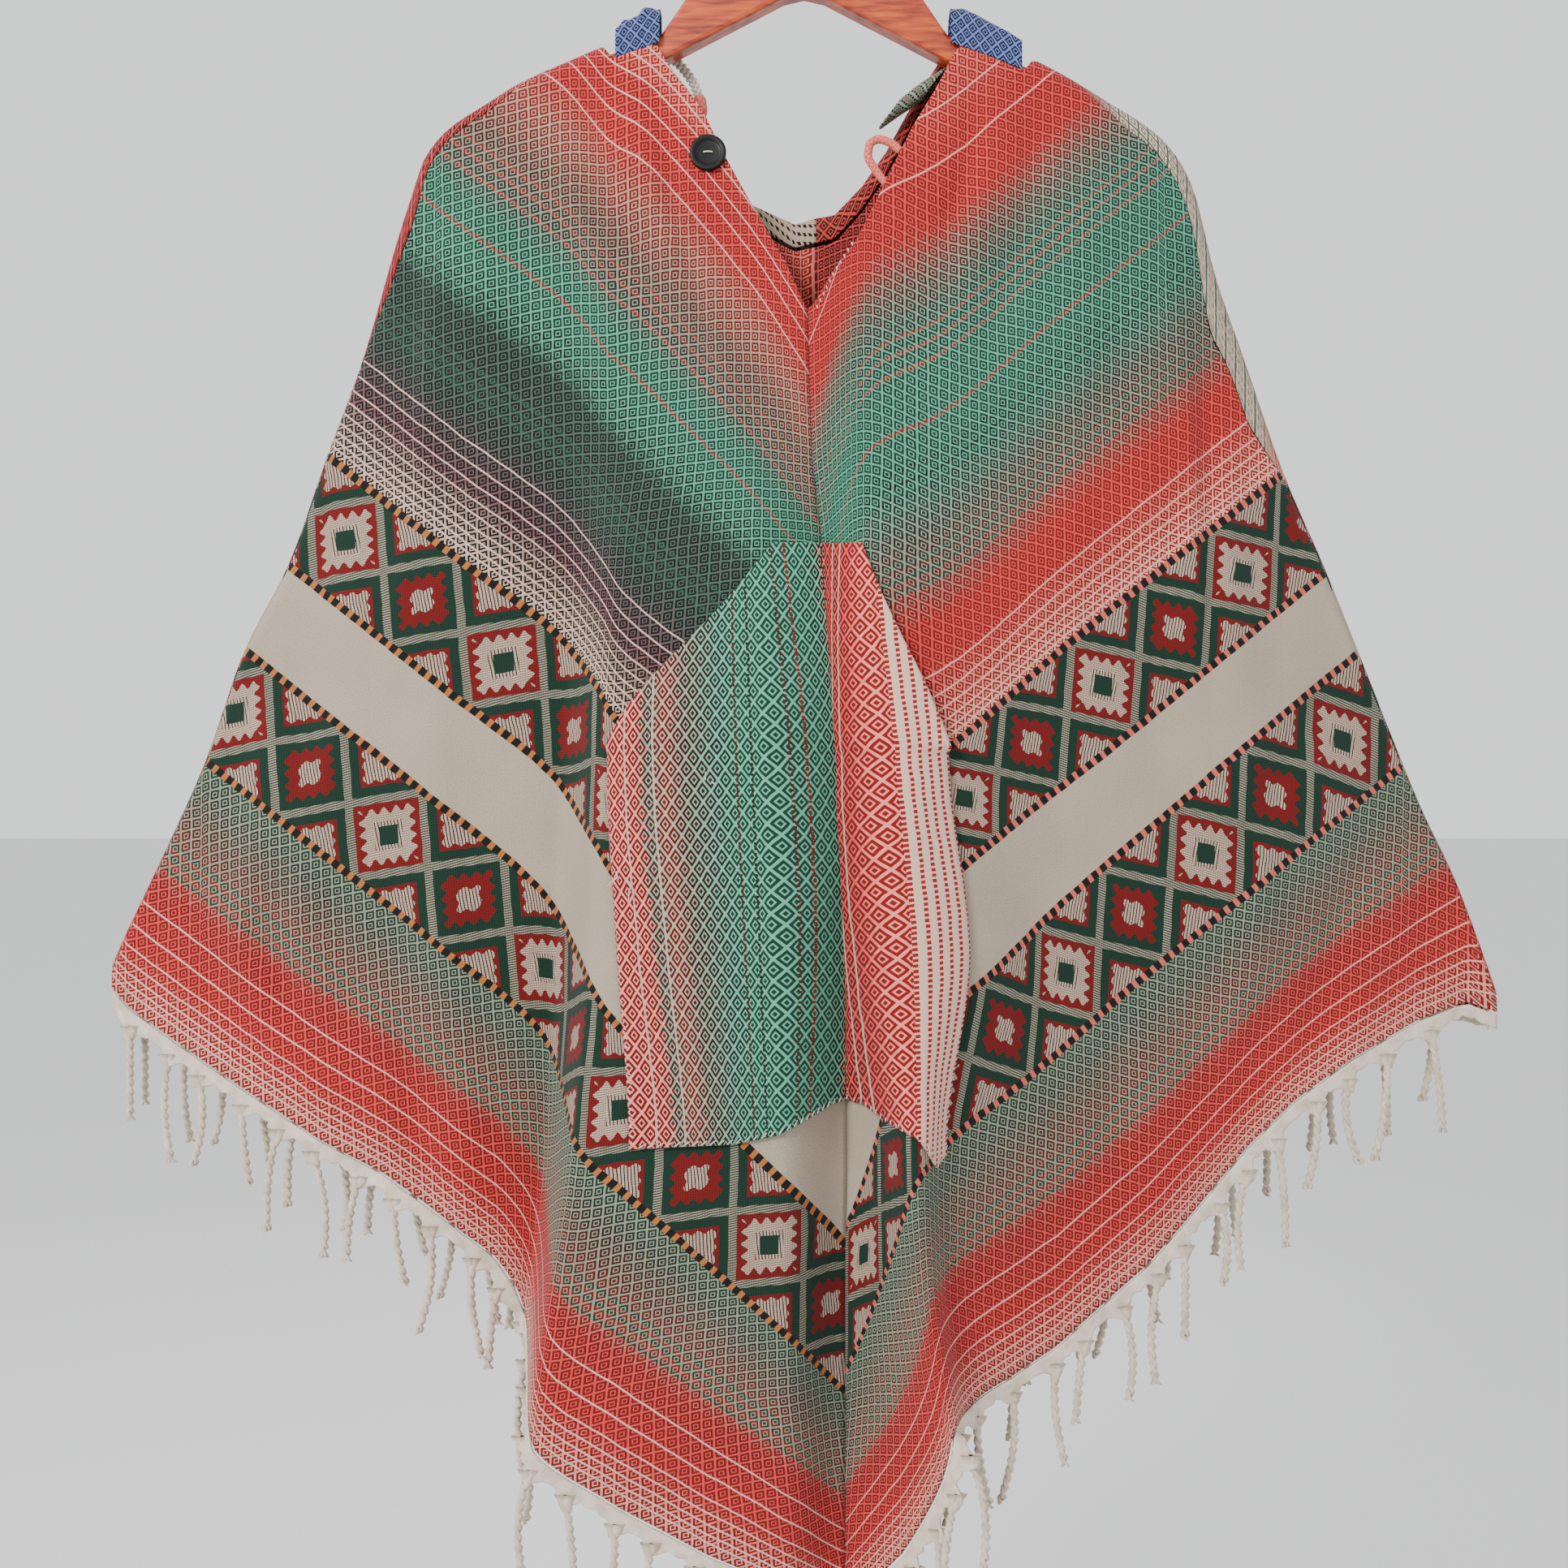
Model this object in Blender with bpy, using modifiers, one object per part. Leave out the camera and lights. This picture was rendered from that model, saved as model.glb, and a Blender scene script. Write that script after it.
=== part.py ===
"""A hooded poncho hung by its shoulders on a wooden hanger, in metres, +Z up, front facing -Y.

The origin is the inside top of the hanger's hook. Cloth is laid out as seen from the front: x is mm
right of the hook and drop is mm below it, both read on the hanger's plane. Each point then gets its
depth from the fold table and is drawn in towards the viewer's axis by as much as it stands forward.
"""

import math

import bmesh
import bpy
import numpy as np

MM = 0.001

# Viewer, mm from the hook
VIEW_X = -13.0
VIEW_DROP = 612.0
VIEW_DISTANCE = 1100.0

# Cloth, mm
WALL = 1.8
GAP = 0.6
HEADER = 16.0
FRONT_HEADER_GAP = 1.5
BACK_HEADER_GAP = 0.7
EDGE_RADIUS = 11.0
CORNER_RADIUS = 6.0
FOLD_FADE = 75.0

# Hanger, mm
ARM_THICK = 16.0
ARM_BELOW_CLOTH = 7.5
WIRE = 3.6
HOOK_RADIUS = 18.0
HOOK_SHANK_TOP = 46.0
HOOK_START = -76.0
HOOK_STEP = 20.0
BAR_ROUNDING = 2.6

# Right half of the hanger's outline: its head, its arm below the cloth, its end and its lower edge: x, drop
HANGER_TOP = ((0.0, 68.0), (22.0, 71.0), (45.0, 83.0), (62.0, 99.0), (76.0, 112.0))
ARM_STATIONS = (92.0, 125.0, 160.0, 195.0)
HANGER_END_AND_FOOT = (
    (216.0, 198.5),
    (222.0, 207.0),
    (216.0, 215.0),
    (206.0, 217.0),
    (150.0, 181.0),
    (87.0, 149.5),
    (13.0, 111.0),
    (0.0, 108.0),
)

# Tassels, mm
TASSEL_PITCH = 29.0
TASSEL_ROOT = 8.0
TASSEL_THICK = 4.4
TASSEL_LENGTH = 56.0
TASSEL_LENGTH_VARIES = 9.0

# Button, mm: seat on the cloth, and its turned outline as radius and height
BUTTON_PLACE = -64.0
BUTTON_DROP = 213.0
BUTTON_TURNS = 28
BUTTON_OUTLINE = ((9.5, 0.0), (11.2, 1.2), (11.5, 2.4), (10.4, 3.6), (8.8, 3.5), (7.8, 2.8))
BUTTON_MIDDLE = 2.7
THREAD_RADIUS = 0.5

# Small pieces at the neck, mm. The loop: x, y and up from its sewn end behind the right neck edge
LOOP_FOOT_PLACE = 57.0
LOOP_FOOT_DROP = 236.0
LOOP_RADIUS = 2.6
LOOP_CLEAR = 3.4
LOOP_PATH = (
    (2.0, 4.0),
    (-6.0, 14.0),
    (-11.5, 24.0),
    (-10.5, 31.0),
    (-4.5, 34.5),
    (3.0, 32.0),
    (9.0, 27.0),
)

# The drawcord's free end and its cloth tip: x, y, up, and the tip's size at each place
CORD_RADIUS = 3.4
CORD_PATH = (
    (-90.7, 14.6, -140.0),
    (-84.0, 14.8, -142.5),
    (-77.0, 14.6, -149.5),
    (-71.5, 14.0, -158.0),
    (-68.5, 13.6, -166.0),
)
TIP_RADIUS = 4.1
TIP_PATH = (
    (-68.3, 13.5, -166.5),
    (-67.6, 13.3, -169.0),
    (-66.6, 13.0, -176.0),
    (-66.2, 12.9, -181.0),
)
TIP_SIZES = (0.8, 1.05, 1.0, 0.55)

# The casing's end, a flattened tube: x, y, up, half its width, half its depth
CASING_WALL = 1.4
CASING_TURNS = 14
CASING_RINGS = (
    (84.0, 2.6, -162.0, 12.5, 4.6),
    (76.0, 3.0, -167.0, 14.0, 4.8),
    (66.0, 3.4, -173.5, 14.0, 5.0),
    (56.0, 3.6, -181.0, 12.5, 5.4),
)
CASING_LEAN = (0.62, 0.78)

# Outline of the cloth from corner to corner over both shoulders: x, drop
SHOULDER_LINE = (
    (-446, 737),
    (-437, 716),
    (-411, 661),
    (-383, 599),
    (-357, 526),
    (-328, 469),
    (-305, 404),
    (-281, 339),
    (-260, 266),
    (-250, 235),
    (-242, 212),
    (-227, 194),
    (-203, 178),
    (-182, 165),
    (-151, 151),
    (-120, 138),
    (-97, 130),
    (0, 92),
    (97, 130),
    (120, 138),
    (155, 154),
    (194, 177),
    (223, 196),
    (237, 211),
    (248, 232),
    (262, 287),
    (280, 339),
    (306, 414),
    (332, 474),
    (353, 526),
    (382, 599),
    (395, 630),
    (415, 672),
    (440, 739),
    (446, 757),
)

# Front neck edge and the back neck seam: x, drop
NECK_LINE = (
    (-104, 100),
    (-97, 138),
    (-86, 156),
    (-65, 184),
    (-52, 211),
    (-40, 233),
    (-24, 261),
    (-12, 281),
    (1, 311),
    (4, 311),
    (18, 287),
    (34, 265),
    (48, 237),
    (56, 221),
    (68, 196),
    (84, 170),
    (96, 146),
    (103, 100),
)
BACK_NECK_LINE = (
    (-104, 100),
    (-97, 136),
    (-86, 166),
    (-68, 208),
    (-40, 250),
    (-6, 268),
    (20, 262),
    (38, 242),
    (54, 218),
    (72, 184),
    (88, 158),
    (97, 138),
    (103, 100),
)

# How far the back cloth comes over to the front, measured round the edge: x, mm
WRAP = (
    (-446, 5),
    (-275, 6),
    (-262, 12),
    (-245, 15),
    (-200, 14),
    (-160, 6),
    (-140, 4),
    (152, 4),
    (172, 7),
    (205, 18),
    (280, 19),
    (305, 7),
    (446, 5),
)

# Beside the neck both edges stay this far round from the ridge, which the hood's end covers: x, mm
RIDGE_OPEN = (
    (-132, 0),
    (-122, 19),
    (139, 19),
    (150, 0),
)

# Fold lines of the front: place across the cloth, then x and forward depth (mm) at each drop below
DROPS = (140, 200, 300, 400, 460, 600, 720, 840, 930, 1040, 1150)
FOLD_LINES = {
    "left corner": (-446, [-446] * 11, [0] * 11),
    "left middle": (-300, [-300] * 11, [0, 2, 8, 12, 14, 14, 12, 10, 8, 8, 8]),
    "left wave": (-220, [-220] * 11, [0, 3, 10, 15, 17, 18, 16, 12, 9, 8, 8]),
    "step foot": (
        -175,
        [-150, -150, -150, -150, -151, -156, -160, -166, -176, -187, -191],
        [0, 4, 11, 17, 20, 20, 16, 10, 7, 6, 6],
    ),
    "step ridge": (
        -145,
        [-122, -122, -122, -123, -125, -131, -133, -143, -157, -173, -177],
        [0, 5, 13, 24, 34, 54, 66, 76, 80, 84, 84],
    ),
    "pocket left": (
        -112,
        [-100, -101, -104, -110, -116, -124, -118, -111, -112, -118, -120],
        [0, 5, 14, 26, 37, 58, 70, 78, 80, 80, 80],
    ),
    "left crest": (
        -38,
        [-38, -37, -36, -34, -32, -26, -21, -17, -15, -13, -12],
        [0, 6, 15, 28, 40, 60, 72, 76, 74, 70, 68],
    ),
    "centre seam": (
        0,
        [0, 1, 2, 5, 11, 19, 24, 27, 26, 26, 26],
        [0, 6, 14, 23, 28, 35, 38, 40, 40, 40, 40],
    ),
    "right ridge": (
        48,
        [44, 44, 43, 42, 42, 53, 63, 69, 77, 93, 96],
        [0, 6, 15, 29, 42, 62, 74, 80, 82, 84, 84],
    ),
    "pocket right": (
        90,
        [84, 84, 85, 86, 87, 90, 103, 88, 92, 106, 110],
        [0, 5, 14, 25, 36, 51, 57, 60, 60, 58, 56],
    ),
    "right wave": (165, [165] * 11, [0, 4, 12, 18, 24, 30, 32, 32, 30, 28, 28]),
    "right middle": (300, [300] * 11, [0, 2, 8, 12, 15, 18, 20, 18, 14, 12, 12]),
    "right corner": (446, [446] * 11, [0] * 11),
}

# Loose lower edge of the front by place across the cloth: place, drop
FRONT_HEM = (
    (-446, 752),
    (-430, 770),
    (-401, 791),
    (-359, 820),
    (-307, 854),
    (-266, 875),
    (-224, 906),
    (-198, 927),
    (-182, 948),
    (-170, 970),
    (-158, 1005),
    (-150, 1035),
    (-143, 1050),
    (-130, 1066),
    (-112, 1086),
    (-75, 1116),
    (-38, 1138),
    (0, 1150),
    (12, 1134),
    (23, 1115),
    (33, 1088),
    (43, 1062),
    (50, 1043),
    (60, 1034),
    (90, 1024),
    (130, 1004),
    (160, 984),
    (218, 932),
    (249, 896),
    (280, 859),
    (311, 829),
    (348, 802),
    (390, 778),
    (421, 766),
    (446, 775),
)
BACK_HEM = (
    (-446, 752),
    (-400, 778),
    (-307, 838),
    (-224, 890),
    (-150, 945),
    (-60, 1020),
    (10, 1075),
    (80, 1010),
    (160, 945),
    (218, 905),
    (280, 842),
    (348, 788),
    (400, 768),
    (446, 775),
)

# Pocket: top, the foot of the slanted openings, and the lower edge by place: place, drop
POCKET_TOP = 460.0
SLANT_END = 590.0
POCKET_TOP_SPAN = (-29.0, 42.0)
POCKET_SPAN = (-112.0, 90.0)
POCKET_BOTTOM = (
    (-112, 843),
    (-60, 840),
    (-38, 834),
    (-12, 815),
    (0, 811),
    (14, 815),
    (30, 826),
    (48, 835),
    (75, 855),
    (90, 846),
)
POCKET_SLACK = 12.0
POCKET_SLANT_CLEAR = 0.9

# Places of the cloth's columns, left and right of the centre seam, and of the back's
LEFT_PLACES = (
    (-441, -430, -412, -385, -355, -322, -290, -258, -235, -212, -192)
    + (-176, -167, -159, -151, -142, -130, -112, -95, -76, -57, -38, -25, -13, -4, -0.25)
)
RIGHT_PLACES = (
    (0.25, 4, 13, 22, 30, 39, 48, 61, 75, 90, 107, 124, 140.5, 144, 148, 153, 164, 179, 198)
    + (220, 242, 262, 290, 322, 355, 385, 412, 430, 441)
)
BACK_SEAM = 8.0
BACK_NECK_PLACES = (-86, -70, -54, -38, -22, -7, 7.7, 8.3, 24, 40, 56, 70, 84)


def smooth(at, places, values):
    """Values on a curve through the points that is flat at its peaks and valleys."""
    places = np.asarray(places, float)
    values = np.asarray(values, float)
    if values.ndim == 1:
        values = values[:, None]
    width = np.diff(places)[:, None]
    slope = np.diff(values, axis=0) / width
    rising = slope[1:] * slope[:-1] > 0
    total = np.where(rising, slope[1:] + slope[:-1], 1.0)
    lean = np.zeros_like(values)
    lean[1:-1] = np.where(rising, 2.0 * slope[1:] * slope[:-1] / total, 0.0)
    lean[0] = slope[0]
    lean[-1] = slope[-1]
    at = np.clip(np.asarray(at, float), places[0], places[-1])
    part = np.clip(np.searchsorted(places, at, side="right") - 1, 0, len(places) - 2)
    row = np.arange(len(at)) if values.shape[1] > 1 else np.zeros(len(at), int)
    size = width[part, 0]
    t = (at - places[part]) / size
    low = values[part, row]
    high = values[part + 1, row]
    low_lean = lean[part, row] * size
    high_lean = lean[part + 1, row] * size
    eased = (1 + 2 * t) * (1 - t) ** 2 * low + t * t * (3 - 2 * t) * high
    return eased + t * (1 - t) ** 2 * low_lean + t * t * (t - 1) * high_lean


def on_line(at, table):
    """A value read from a two-column table by straight steps."""
    columns = np.asarray(table, float)
    return np.interp(at, columns[:, 0], columns[:, 1])


def on_curve(at, table):
    """A value read from a two-column table along a smooth curve."""
    columns = np.asarray(table, float)
    return smooth(at, columns[:, 0], columns[:, 1])


def from_folds(place, drop, column):
    """The x (column 1) or the forward depth (column 2) of the front at each place and drop."""
    lines = list(FOLD_LINES.values())
    levels = np.array([smooth(drop, DROPS, line[column]) for line in lines])
    return smooth(place, [line[0] for line in lines], levels)


def edge_radius(x):
    return np.interp(np.abs(x), (0, 230, 446), (EDGE_RADIUS, EDGE_RADIUS, CORNER_RADIUS))


def lean_of_edge(x):
    """Cosine of the outline's slope, to turn a distance from it into a drop."""
    step = 4.0
    slope = (on_curve(x + step, SHOULDER_LINE) - on_curve(x - step, SHOULDER_LINE)) / (2 * step)
    return 1.0 / np.sqrt(1.0 + slope**2)


def inset_at(x, around):
    """How far inside the outline a point is after going this far round its rounded edge."""
    radius = edge_radius(x)
    turn = np.clip(around / radius, 0.0, math.pi / 2)
    beyond = np.maximum(around - radius * math.pi / 2, 0.0)
    return radius * (1 - np.cos(turn)) + beyond


def edge_depth(x, drop):
    """Half the thickness of the hung poncho near its outline, and the fade of its folds there."""
    radius = edge_radius(x)
    inset = np.maximum((drop - on_curve(x, SHOULDER_LINE)) * lean_of_edge(x), 0.0)
    inner = np.clip(1.0 - inset / radius, 0.0, 1.0)
    fade = np.clip(inset / FOLD_FADE, 0.0, 1.0)
    return radius * np.sqrt(1.0 - inner**2), fade * fade * (3 - 2 * fade)


def seen_at(x, drop, y, forward=0.0):
    """Metres for a point at depth y that is seen at x and drop, its fold standing forward by so much."""
    nearer = (VIEW_DISTANCE - forward) / VIEW_DISTANCE
    across = VIEW_X + (x - VIEW_X) * nearer
    down = VIEW_DROP + (drop - VIEW_DROP) * nearer
    return np.stack([across, y, -down], axis=-1) * MM


def front_point(place, drop, out=0.0):
    """The front cloth's middle surface, or a surface that lies this many mm out from it."""
    place = np.asarray(place, float)
    drop = np.asarray(drop, float)
    x = from_folds(place, drop, 1)
    half, fade = edge_depth(x, drop)
    forward = fade * from_folds(place, drop, 2)
    points = seen_at(x, drop, -half - forward, forward)
    if np.isscalar(out) and out == 0.0:
        return points
    step = 0.8
    across = front_point(place + step, drop) - front_point(place - step, drop)
    down = front_point(place, drop + step) - front_point(place, drop - step)
    normal = np.cross(down, across)
    normal /= np.linalg.norm(normal, axis=-1, keepdims=True)
    return points + normal * (np.asarray(out, float) * MM)[..., None]


def back_point(x, drop, over=None):
    """The back cloth. `over` is the distance round the edge from its ridge, to the front if negative."""
    x = np.asarray(x, float)
    half, fade = edge_depth(x, drop)
    side = np.ones_like(x) if over is None else np.where(over < 0, -1.0, 1.0)
    hang = np.clip((drop - 300.0) / 500.0, 0.0, 1.0)
    wave = 5.0 * np.sin(x / 46.0 + 0.6) + 3.0 * np.sin(x / 23.0)
    y = side * half + np.where(side > 0, fade * hang * (wave + 5.0), 0.0)
    return seen_at(x, drop, y)


def grid_faces(rows, columns):
    """Quads of a grid whose points are listed row by row."""
    faces = []
    for row in range(rows - 1):
        for column in range(columns - 1):
            first = row * columns + column
            faces.append((first, first + 1, first + columns + 1, first + columns))
    return faces


def material(name, colour, rough):
    made = bpy.data.materials.new(name)
    made.use_nodes = True
    shader = made.node_tree.nodes["Principled BSDF"]
    shader.inputs["Base Color"].default_value = (*colour, 1.0)
    shader.inputs["Roughness"].default_value = rough
    made.diffuse_color = (*colour, 1.0)
    return made


def add_mesh(name, points, faces, look, collection, rounded=True):
    mesh = bpy.data.meshes.new(name)
    mesh.from_pydata([tuple(point) for point in points], [], faces)
    mesh.materials.append(look)
    made = bpy.data.objects.new(name, mesh)
    collection.objects.link(made)
    for polygon in mesh.polygons:
        polygon.use_smooth = rounded
    return made


def add_sheet(name, grid, look, collection, wall=WALL):
    """Cloth: an open grid of points given its thickness by Solidify."""
    rows, columns = grid.shape[:2]
    made = add_mesh(name, grid.reshape(-1, 3), grid_faces(rows, columns), look, collection)
    solid = made.modifiers.new("Wall", "SOLIDIFY")
    solid.thickness = wall * MM
    solid.offset = 0.0
    solid.use_quality_normals = True
    return made


def top_of_front(place):
    """The drop where each column of the front starts, and its first rows."""
    drop = np.full(len(place), 200.0)
    for _ in range(25):
        x = from_folds(place, drop, 1)
        around = np.maximum(on_line(x, WRAP) + GAP, on_line(x, RIDGE_OPEN))
        start = on_curve(x, SHOULDER_LINE) + inset_at(x, around) / lean_of_edge(x)
        drop = np.maximum(start, on_line(x, NECK_LINE))
    rows = [drop]
    hem = on_line(place, FRONT_HEM) - HEADER
    room = np.maximum(hem - drop, 3.0)
    for step in (3.0, 8.0, 17.0):
        inset = inset_at(x, around + step) - inset_at(x, around)
        lower = np.minimum(np.maximum(inset / lean_of_edge(x), 0.4 * step), room * step / 40.0)
        rows.append(drop + lower)
    return rows, hem


def front_rows(place):
    """Drops of the front's rows, with rows along the pocket's edges where it lies."""
    place = np.asarray(place, float)
    rows, hem = top_of_front(place)
    across = np.clip(place, *POCKET_SPAN)
    pocket_rows, pocket_hem = top_of_front(across)
    bottom = on_line(across, POCKET_BOTTOM)
    levels = []
    for part in (0.3, 0.64, 1.0):
        levels.append(pocket_rows[-1] + (POCKET_TOP - pocket_rows[-1]) * part)
    slant = SLANT_END - POCKET_TOP
    for part in (1 / 3, 2 / 3, 1.0):
        levels.append(np.full(len(place), POCKET_TOP + slant * part))
    for part in (0.26, 0.51, 0.76, 1.0):
        levels.append(SLANT_END + (bottom - SLANT_END) * part)
    for part in (0.25, 0.5, 0.75, 1.0):
        levels.append(bottom + (pocket_hem - bottom) * part)
    for level in levels:
        part = (level - pocket_rows[-1]) / (pocket_hem - pocket_rows[-1])
        rows.append(rows[3] + (hem - rows[3]) * part)
    return np.array(rows)


def front_grid(places):
    rows = front_rows(places)
    place = np.broadcast_to(np.asarray(places, float), rows.shape)
    return front_point(place.ravel(), rows.ravel()).reshape(*rows.shape, 3)


def back_places(side):
    """The x of the back's columns: those of the front at the shoulder, then its own below the neck."""
    places = np.array(LEFT_PLACES if side < 0 else RIGHT_PLACES, float)
    rows, _ = top_of_front(places)
    shoulder = from_folds(places, rows[0], 1)
    shoulder = [x for x in shoulder if abs(x) > 98]
    neck = [x for x in BACK_NECK_PLACES if (x - BACK_SEAM) * side > 0]
    return sorted(shoulder + neck)


def back_grid(places):
    """The back cloth from its edge on the front, over the shoulder ridge and down to its hem."""
    x = np.asarray(places, float)
    ridge = on_curve(x, SHOULDER_LINE)
    lean = lean_of_edge(x)
    wrap = on_line(x, WRAP)
    open_by = on_line(x, RIDGE_OPEN)
    neck = np.maximum(on_line(x, BACK_NECK_LINE) - ridge, 0.0) * (np.abs(x) < 104)
    hem = on_line(x, BACK_HEM) - HEADER
    room = np.maximum(hem - ridge, 3.0) / 2.2
    grid = []
    for number, over in enumerate((-wrap, -wrap * 0.5, 0.0, 6.0, 12.0, 21.0)):
        over = np.where(open_by > 0, np.maximum(over, open_by + number * 1.5), over)
        most = np.where(open_by > 0, room, room * abs(number - 2) / 3.0)
        drop = ridge + np.minimum(inset_at(x, np.abs(over)) / lean, most)
        inside = neck > 0
        drop = np.where(inside, ridge + neck + number * 2.5, drop)
        side = np.where(inside, 1.0, np.where(over == 0.0, 1.0, over))
        grid.append(back_point(x, drop, side))
        last = drop
    for part in (0.1, 0.2, 0.3, 0.42, 0.55, 0.7, 0.85, 1.0):
        grid.append(back_point(x, last + (hem - last) * part))
    return np.array(grid)


def pocket_grid():
    """The pocket, made from the front's points moved out, slack between its sewn edges."""
    places = LEFT_PLACES[:-1] + (0.0,) + RIGHT_PLACES[1:]
    places = np.array([place for place in places if POCKET_SPAN[0] <= place <= POCKET_SPAN[1]])
    share = (places - places[0]) / (places[-1] - places[0])
    rows = front_rows(places)[6:14]
    grid = []
    for number, drops in enumerate(rows):
        slope = np.clip((drops[0] - POCKET_TOP) / (SLANT_END - POCKET_TOP), 0.0, 1.0)
        left = POCKET_TOP_SPAN[0] + (places[0] - POCKET_TOP_SPAN[0]) * slope
        right = POCKET_TOP_SPAN[1] + (places[-1] - POCKET_TOP_SPAN[1]) * slope
        place = places if slope >= 1.0 else left + (right - left) * share
        slack = np.sin(math.pi * number / (len(rows) - 1)) * POCKET_SLACK
        from_side = np.sin(math.pi * share)
        sewn = WALL + GAP
        if slope < 1.0:
            from_side = 0.55 + 0.45 * from_side
            sewn += POCKET_SLANT_CLEAR
        else:
            from_side = from_side**0.5
        grid.append(front_point(place, drops, sewn + slack * from_side))
    return np.array(grid)


def hood_grid(side):
    """Half of the hood: from the neck seam over its roll, down inside, round the crown and up outside."""
    across = np.array([0.0, 0.14, 0.3, 0.46, 0.62, 0.76, 0.88, 0.96, 1.0])
    neck_x = BACK_SEAM + side * (GAP / 2 + across * 84.0)
    seam = on_line(neck_x, BACK_NECK_LINE)
    roll = seam - 18.0 + 6.0 * across
    crown = 585.0 - 80.0 * across**3
    face = 320.0 - 120.0 * across**2
    close = np.sqrt(np.clip(1.0 - across**2, 0.0, 1.0))
    rows = []
    steps = (
        (seam - 3.0, 11.6),
        (seam - 9.0, 12.4),
        (roll + 1.0, 14.5),
        (roll - 2.2, 17.5),
        (roll + 1.0, 20.5),
        (roll + 14.0, 22.0),
    )
    for drop, depth in steps:
        rows.append((neck_x, drop, np.full(len(across), depth)))
    base = roll + 14.0
    width = np.array([0.10, 0.28, 0.5, 0.72, 0.88, 0.97])
    spread = np.array([1.0, 1.16, 1.3, 1.38, 1.36, 1.3])
    behind = np.array([24.0, 27.0, 29.0, 30.0, 30.5, 31.0])
    for part, wide, depth in zip(width, spread, behind):
        x = BACK_SEAM + side * (GAP / 2 + across * 84.0 * wide)
        rows.append((x, base + (crown - base) * part, np.full(len(across), depth)))
    x = BACK_SEAM + side * (GAP / 2 + across * 84.0 * 1.27)
    rows.append((x, crown + 2.0, np.full(len(across), 34.5)))
    for part, wide in zip((0.97, 0.88, 0.72, 0.5, 0.28, 0.0), (1.3, 1.36, 1.38, 1.3, 1.22, 1.14)):
        x = BACK_SEAM + side * (GAP / 2 + across * 84.0 * wide)
        swell = 38.0 + (5.0 + 15.0 * (1.0 - part)) * close
        rows.append((x, face + (crown - face) * part, swell))
    return np.array([seen_at(x, drop, depth) for x, drop, depth in rows])


def hood_end_grid(side):
    """The blue cloth at the hood's end: from the front edge up over the arm and down behind it."""
    inner, outer = (93.0, 138.0) if side > 0 else (92.0, 120.0)
    x = np.linspace(inner, outer, 6)
    ridge = on_curve(side * x, SHOULDER_LINE)
    rise = np.interp(x, (inner, inner + 8, outer), (10.5, 13.5, 7.5))
    crumple = np.zeros(6) if side > 0 else 2.2 * np.sin(np.arange(6) * 1.9)
    start = ridge + 13.1
    rows = (
        (start, -11.0),
        (start - 7.0, -11.0),
        (ridge - rise * 0.6, -9.5 + crumple * 0.5),
        (ridge - rise + crumple * 0.5, -4.0 + crumple * 0.3),
        (ridge - rise * 0.95 + crumple * 0.5, 3.5),
        (ridge - rise * 0.4, 10.0),
        (ridge + 4.0, 12.6),
        (ridge + 16.0, 13.1),
        (ridge + 30.0, 13.1),
    )
    return np.array([seen_at(side * x, drop, np.zeros(6) + depth) for drop, depth in rows])


def hem_points(of_front, places, beyond):
    """Points this many mm beyond the panel's hem, square to it in the cloth's own surface."""
    places = np.asarray(places, float)
    table = FRONT_HEM if of_front else BACK_HEM

    def on_cloth(place, lower):
        drop = on_line(place, table) - HEADER + lower
        return front_point(place, drop) if of_front else back_point(place, drop)

    base = on_cloth(places, 0.0)
    along = on_cloth(places + 4.0, 0.0) - on_cloth(places - 4.0, 0.0)
    down = on_cloth(places, 3.0) - on_cloth(places, -3.0)
    along /= np.linalg.norm(along, axis=1, keepdims=True)
    down -= along * np.sum(along * down, axis=1, keepdims=True)
    down /= np.linalg.norm(down, axis=1, keepdims=True)
    ends = np.minimum(np.abs(places - places[0]), np.abs(places - places[-1])) / 14.0
    ends = np.clip(ends, 0.0, 1.0)[:, None]
    down = down * ends + np.array([0.0, 0.0, -1.2]) * (1.0 - ends)
    return base + down * beyond * MM


def tassel_places(of_front, start, end):
    """Where the tassels' roots begin and end along a hem quarter."""
    fine = np.linspace(start, end, 1200)
    line = hem_points(of_front, fine, HEADER)
    along = np.concatenate([[0.0], np.cumsum(np.linalg.norm(np.diff(line, axis=0), axis=1))]) / MM
    count = int((along[-1] - 24.0) // TASSEL_PITCH)
    roots = []
    for number in range(count):
        middle = 16.0 + number * TASSEL_PITCH + 3.0 * math.sin(number * 2.3)
        ends = np.interp((middle - TASSEL_ROOT / 2, middle + TASSEL_ROOT / 2), along, fine)
        roots.append(tuple(ends))
    return roots


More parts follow.
